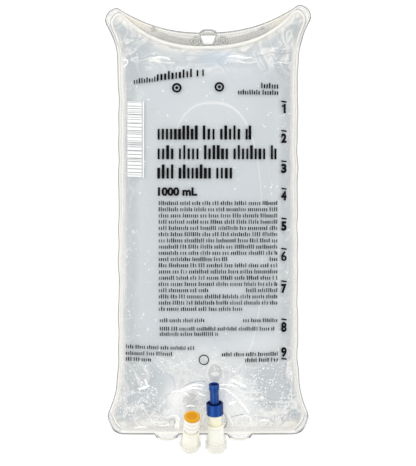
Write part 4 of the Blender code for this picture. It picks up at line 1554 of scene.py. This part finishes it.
# numeral, and the pixel rows of its tick, its top and its bottom
GRADUATIONS = (
    ("1", 102.2, 104.3, 113.6),
    ("2", 131.3, 133.7, 143.0),
    ("3", 161.7, 163.9, 173.2),
    ("4", 189.0, 191.0, 200.4),
    ("5", 218.8, 221.3, 230.6),
    ("6", 248.9, 251.1, 260.8),
    ("7", 281.3, 283.7, 293.0),
    ("8", 319.3, 321.7, 331.5),
    ("9", 358.6, 346.9, 356.5),
)
marks = bmesh.new()
for numeral, tick, top, bottom in GRADUATIONS:
    add_rectangle(marks, 281.2, tick + 0.95, 286.4, tick - 0.55, -0.7)
    if numeral == "1":
        add_rectangle(marks, 283.5, bottom, 285.6, top)
        add_rectangle(marks, 281.8, top + 2.3, 283.7, top + 0.7, 1.1)
        continue
    # the closed loops of 6, 8 and 9 take less weight than the open numerals
    weight = {"6": 0.02, "8": 0.04, "9": 0.04}.get(numeral, 0.055)
    add_figures(marks, numeral, 281.0, bottom + 0.2, 286.4, top, weight)
lay_on_film("graduation_marks", marks, black_ink)

capacity = bmesh.new()
add_figures(capacity, "1000 mL", 158.1, 196.1, 197.2, 187.5, 0.045)
lay_on_film("capacity_marking", capacity, black_ink)

targets = bmesh.new()
for px, py in ((176.9, 88.4), (219.3, 87.5)):
    add_ring(targets, px, py, 4.8, 2.9)
    add_ring(targets, px, py, 1.5)
add_ring(targets, 203.9, 359.3, 5.2, 4.2)
lay_on_film("register_marks", targets, black_ink)

bars = bmesh.new()
widths = np.random.default_rng(11)
bar_top = 102.4
while bar_top < 176.5:
    width = float(widths.choice((0.7, 1.1, 1.7, 2.8)))
    add_rectangle(bars, 127.7, bar_top + width, 142.1, bar_top, -0.6)
    bar_top += width + float(widths.choice((0.55, 0.8, 1.2)))
add_rectangle(bars, 142.9, 178.0, 144.2, 101.8)
lay_on_film("white_bar_field", bars, white_ink)

# Rows of words, as plain upright strokes: each word is an edge, and the nodes set strokes along it and
# lay them on the film. Each row: left, right, middle, rise, height, stroke and pitch, in pixels.
ROWS = [
    (134.0, 158.0, 80.6, 2.4, 5.2, 1.15, 2.4),
    (157.0, 204.0, 74.6, 5.0, 8.4, 1.9, 3.5),
    (261.0, 278.0, 86.2, -0.4, 5.6, 1.35, 2.3),
    (238.0, 278.0, 92.8, -0.4, 4.8, 1.25, 2.15),
    (157.6, 251.0, 133.0, 0.0, 14.0, 2.55, 4.0),
    (157.6, 276.5, 152.6, 0.0, 14.0, 2.55, 4.0),
    (157.6, 232.0, 171.8, 0.0, 14.0, 2.55, 4.0),
    (160.0, 204.0, 319.9, 0.0, 3.9, 0.92, 1.85),
    (243.0, 277.0, 319.9, 0.0, 3.9, 0.92, 1.85),
    (160.0, 274.0, 328.2, 0.0, 3.9, 0.92, 1.85),
    (160.0, 218.0, 333.5, 0.0, 3.9, 0.92, 1.85),
    (126.0, 194.0, 346.9, -1.6, 3.9, 0.92, 1.85),
    (126.0, 172.0, 353.0, -0.8, 3.9, 0.92, 1.85),
    (126.0, 151.0, 358.8, -0.5, 3.9, 0.92, 1.85),
    (222.0, 277.5, 353.6, 0.6, 4.1, 1.05, 1.9),
    (245.0, 277.5, 359.3, 0.5, 4.1, 1.05, 1.9),
]
SMALL_ROWS = 18
for step in range(SMALL_ROWS):
    middle = 203.2 + step * (308.5 - 203.2) / (SMALL_ROWS - 1)
    ends = {9: [(159.0, 227.0), (269.5, 277.0)], 14: [(159.0, 208.0), (246.0, 277.0)], 17: [(159.0, 242.0)]}
    for left, right in ends.get(step, [(159.0, 277.0)]):
        ROWS.append((left, right, middle, 0.0, 4.1, 0.95, 1.9))
WORD_LENGTHS = (3, 4, 5, 6, 8, 10)


def word_edges():
    """One edge for each word, at height 0, with the size and pitch of its strokes."""
    lengths = np.random.default_rng(4)
    bm = bmesh.new()
    layers = {name: bm.verts.layers.float.new(name) for name in ("tall", "wide", "pitch")}
    for left, right, middle, rise, tall, wide, pitch in ROWS:
        start = left
        while start < right - pitch:
            end = min(start + pitch * int(lengths.choice(WORD_LENGTHS)), right)
            if right - end < 2.5 * pitch:
                end = right
            pair = []
            for px in (start + wide / 2, end - wide / 2):
                py = middle + rise / 2 - rise * (px - left) / (right - left)
                vertex = bm.verts.new((*from_photo(px, py), 0.0))
                for name, size in (("tall", tall), ("wide", wide), ("pitch", pitch)):
                    vertex[layers[name]] = size * PHOTO_SCALE
                pair.append(vertex)
            bm.edges.new(pair)
            start = end + pitch * 1.3
    mesh = bpy.data.meshes.new("words")
    bm.to_mesh(mesh)
    bm.free()
    return mesh


class Tree(Nodes):
    """A Geometry Nodes tree with named inputs."""

    def __init__(self, name, sockets):
        super().__init__(bpy.data.node_groups.new(name, "GeometryNodeTree"))
        self.tree.interface.new_socket("Geometry", in_out="INPUT", socket_type="NodeSocketGeometry")
        for label, kind in sockets:
            self.tree.interface.new_socket(label, in_out="INPUT", socket_type="NodeSocket" + kind)
        self.tree.interface.new_socket("Geometry", in_out="OUTPUT", socket_type="NodeSocketGeometry")
        self.entry = self.tree.nodes.new("NodeGroupInput")

    def given(self, label):
        return Value(self, self.entry.outputs[label])

    def stored(self, label):
        """A number kept on the mesh under this name."""
        return self.add("GeometryNodeInputNamedAttribute", {"data_type": "FLOAT"}, {"Name": label}, 0)

    def random(self, low, high, seed):
        settings = {"data_type": "FLOAT"}
        return self.add("FunctionNodeRandomValue", settings, {2: low, 3: high, "Seed": seed}, 1)

    def vector(self, x, y, z):
        return self.add("ShaderNodeCombineXYZ", {}, {0: x, 1: y, 2: z})

    def end(self, geometry):
        out = self.tree.nodes.new("NodeGroupOutput")
        self.tree.links.new(geometry.socket, out.inputs[0])

    def grow(self, name, mesh, inputs):
        """Run the tree on a mesh and return the result as a plain mesh piece."""
        piece = bpy.data.objects.new(name, mesh)
        scene.collection.objects.link(piece)
        modifier = piece.modifiers.new(name, "NODES")
        modifier.node_group = self.tree
        for item in self.tree.interface.items_tree:
            if item.in_out == "INPUT" and item.name in inputs:
                modifier[item.identifier] = inputs[item.name]
        apply_modifiers(piece)
        return piece


def stroke_tree():
    sockets = (
        ("Film", "Object"), ("Thickness", "Float"), ("Lift", "Float"),
        ("Ink", "Material"), ("Seed", "Int"),
    )
    tree = Tree("word strokes", sockets)
    curve = tree.add("GeometryNodeMeshToCurve", {}, {"Mesh": tree.given("Geometry")})
    pitch = tree.stored("pitch")
    places = tree.add(
        "GeometryNodeResampleCurve", {"mode": "LENGTH"}, {"Curve": curve, "Length": pitch}
    )
    seed = tree.given("Seed")
    tall = tree.stored("tall")
    short = tree.random(0.0, 1.0, seed).math("GREATER_THAN", 0.34)
    height = tall * (1.0 - short * 0.24)
    width = tree.stored("wide") * tree.random(0.8, 1.2, seed + 1.0)
    drop = tree.vector(0.0, (height - tall) * 0.5, 0.0)
    low = tree.add("GeometryNodeSetPosition", {}, {"Geometry": places, "Offset": drop})
    cube = tree.add(
        "GeometryNodeMeshCube",
        {},
        {"Size": (1.0, 1.0, 1.0), "Vertices X": 2, "Vertices Y": STROKE_CUTS, "Vertices Z": 2},
    )
    strokes = tree.add(
        "GeometryNodeInstanceOnPoints",
        {},
        {"Points": low, "Instance": cube, "Scale": tree.vector(width, height, tree.given("Thickness"))},
    )
    solid = tree.add("GeometryNodeRealizeInstances", {}, {"Geometry": strokes})
    place = tree.add("GeometryNodeInputPosition", {}, {})
    above = tree.vector(place.part("X"), place.part("Y"), 0.1)
    film = tree.add(
        "GeometryNodeObjectInfo", {"transform_space": "RELATIVE"}, {"Object": tree.given("Film")}, "Geometry"
    )
    hit = tree.add(
        "GeometryNodeRaycast",
        {},
        {
            "Target Geometry": film, "Source Position": above,
            "Ray Direction": (0.0, 0.0, -1.0), "Ray Length": 0.2,
        },
        "Hit Position",
    )
    height_there = hit.part("Z") + place.part("Z") + tree.given("Lift")
    laid = tree.add(
        "GeometryNodeSetPosition",
        {},
        {"Geometry": solid, "Position": tree.vector(place.part("X"), place.part("Y"), height_there)},
    )
    tree.end(tree.add("GeometryNodeSetMaterial", {}, {"Geometry": laid, "Material": tree.given("Ink")}))
    return tree


words = stroke_tree().grow(
    "word_strokes",
    word_edges(),
    {
        "Film": front,
        "Thickness": INK_THICKNESS,
        "Lift": INK_LIFT + INK_THICKNESS / 2,
        "Ink": black_ink,
        "Seed": 7,
    },
)
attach(words, "bag")


# Bubbles: air left in the solution gathers under the front film, most of it near the ports. The nodes
# scatter the small ones over the solution, and the few large ones are placed one by one.
BUBBLE_DENSITY = 700000.0
SMALLEST_BUBBLE = 0.24 * MM
LARGEST_BUBBLE = 0.95 * MM
BUBBLE_DEPTH = 0.40 * MM
BUBBLE_GLOW = 0.12
# Each large bubble: place in pixels of the photograph and radius in millimetres.
LARGE_BUBBLES = (
    (262, 397, 1.25), (255.5, 402.5, 1.0), (270, 401.7, 0.85), (261.5, 410.5, 0.9), (239.5, 399.5, 1.1),
    (245, 397.5, 0.8), (276.5, 402, 0.8), (263, 368, 0.85), (247, 378.6, 0.65), (255, 390.8, 0.6),
    (253.8, 386, 0.55), (260.5, 406.5, 0.55), (262, 378.5, 0.8), (270, 379, 0.7), (164, 402, 0.85),
    (140, 400.8, 0.8), (148, 396.8, 0.75), (177, 384, 0.6), (177.5, 387.4, 0.6), (173.5, 387, 0.5),
    (120.5, 412.3, 0.6), (156, 409.6, 0.6), (151, 404.8, 0.55), (166, 410, 0.6), (128, 378.5, 0.5),
    (128, 407.5, 0.6), (131.5, 391.5, 0.6), (161.5, 382.5, 0.55), (153, 375.6, 0.6), (281, 400.4, 0.55),
)


def bubble_tree():
    sockets = (
        ("Density", "Float"), ("Smallest", "Float"), ("Largest", "Float"), ("Sunk", "Float"),
        ("Finish", "Material"), ("Seed", "Int"),
    )
    tree = Tree("bubbles", sockets)
    normal = tree.add("GeometryNodeInputNormal", {}, {})
    place = tree.add("GeometryNodeInputPosition", {}, {})
    cluster = tree.noise(place, 55.0, 2.0)
    low = ((place.part("Y") * -1.0 - 0.078) / 0.03).clamped()
    side = ((place.part("X").math("ABSOLUTE") - 0.034) / 0.012).clamped()
    share = (0.022 + low * 0.95 + side * 0.08) * ((cluster - 0.36) * 5.0).clamped()
    facing = normal.part("Z").math("GREATER_THAN", 0.55)
    points = tree.add(
        "GeometryNodeDistributePointsOnFaces",
        {},
        {
            "Mesh": tree.given("Geometry"),
            "Density": tree.given("Density") * share * facing,
            "Seed": tree.given("Seed"),
        },
    )
    chance = tree.random(0.0, 1.0, tree.given("Seed")) ** 3.4
    radius = tree.given("Smallest") + (tree.given("Largest") - tree.given("Smallest")) * chance
    sunk = tree.add(
        "GeometryNodeSetPosition",
        {},
        {"Geometry": points, "Offset": tree.vector(0.0, 0.0, tree.given("Sunk") - radius)},
    )
    ball = tree.add("GeometryNodeMeshIcoSphere", {}, {"Radius": 1.0, "Subdivisions": 1})
    balls = tree.add(
        "GeometryNodeInstanceOnPoints",
        {},
        {"Points": sunk, "Instance": ball, "Scale": tree.vector(radius, radius, radius)},
    )
    solid = tree.add("GeometryNodeRealizeInstances", {}, {"Geometry": balls})
    smooth_balls = tree.add("GeometryNodeSetShadeSmooth", {}, {"Geometry": solid})
    finish = tree.given("Finish")
    tree.end(tree.add("GeometryNodeSetMaterial", {}, {"Geometry": smooth_balls, "Material": finish}))
    return tree


def bubble_material():
    material, nodes, shader, place = new_material("air bubble")
    cloud = nodes.noise(place, 500.0, 2.0)
    # painted highlight: the bubbles are painted white and glow faintly
    feed(nodes, shader, Base_Color=nodes.mix(cloud, (0.93, 0.95, 0.96), (1.0, 1.0, 1.0)))
    feed(nodes, shader, Roughness=0.12 + cloud * 0.1, Alpha=0.85 + cloud * 0.15)
    feed(nodes, shader, Emission_Color=(1.0, 1.0, 1.0, 1.0))
    shader.inputs["Emission Strength"].default_value = BUBBLE_GLOW
    return material


bubble_finish = bubble_material()
bubbles = bubble_tree().grow(
    "air_bubbles",
    solution.data.copy(),
    {
        "Density": BUBBLE_DENSITY,
        "Smallest": SMALLEST_BUBBLE,
        "Largest": LARGEST_BUBBLE,
        "Sunk": BUBBLE_DEPTH,
        "Finish": bubble_finish,
        "Seed": 3,
    },
)
balls = bmesh.new()
for px, py, radius in LARGE_BUBBLES:
    x, y = from_photo(px, py)
    place = Matrix.Translation((x, y, height_on(solution_surface, x, y) - radius * 0.5 * MM))
    bmesh.ops.create_icosphere(balls, subdivisions=3, radius=radius * MM, matrix=place)
mesh = bpy.data.meshes.new("large_bubbles")
balls.to_mesh(mesh)
balls.free()
mesh.shade_smooth()
mesh.materials.append(bubble_finish)
large_bubbles = bpy.data.objects.new("large_bubbles", mesh)
scene.collection.objects.link(large_bubbles)
for piece in (bubbles, large_bubbles):
    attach(piece, "bag")
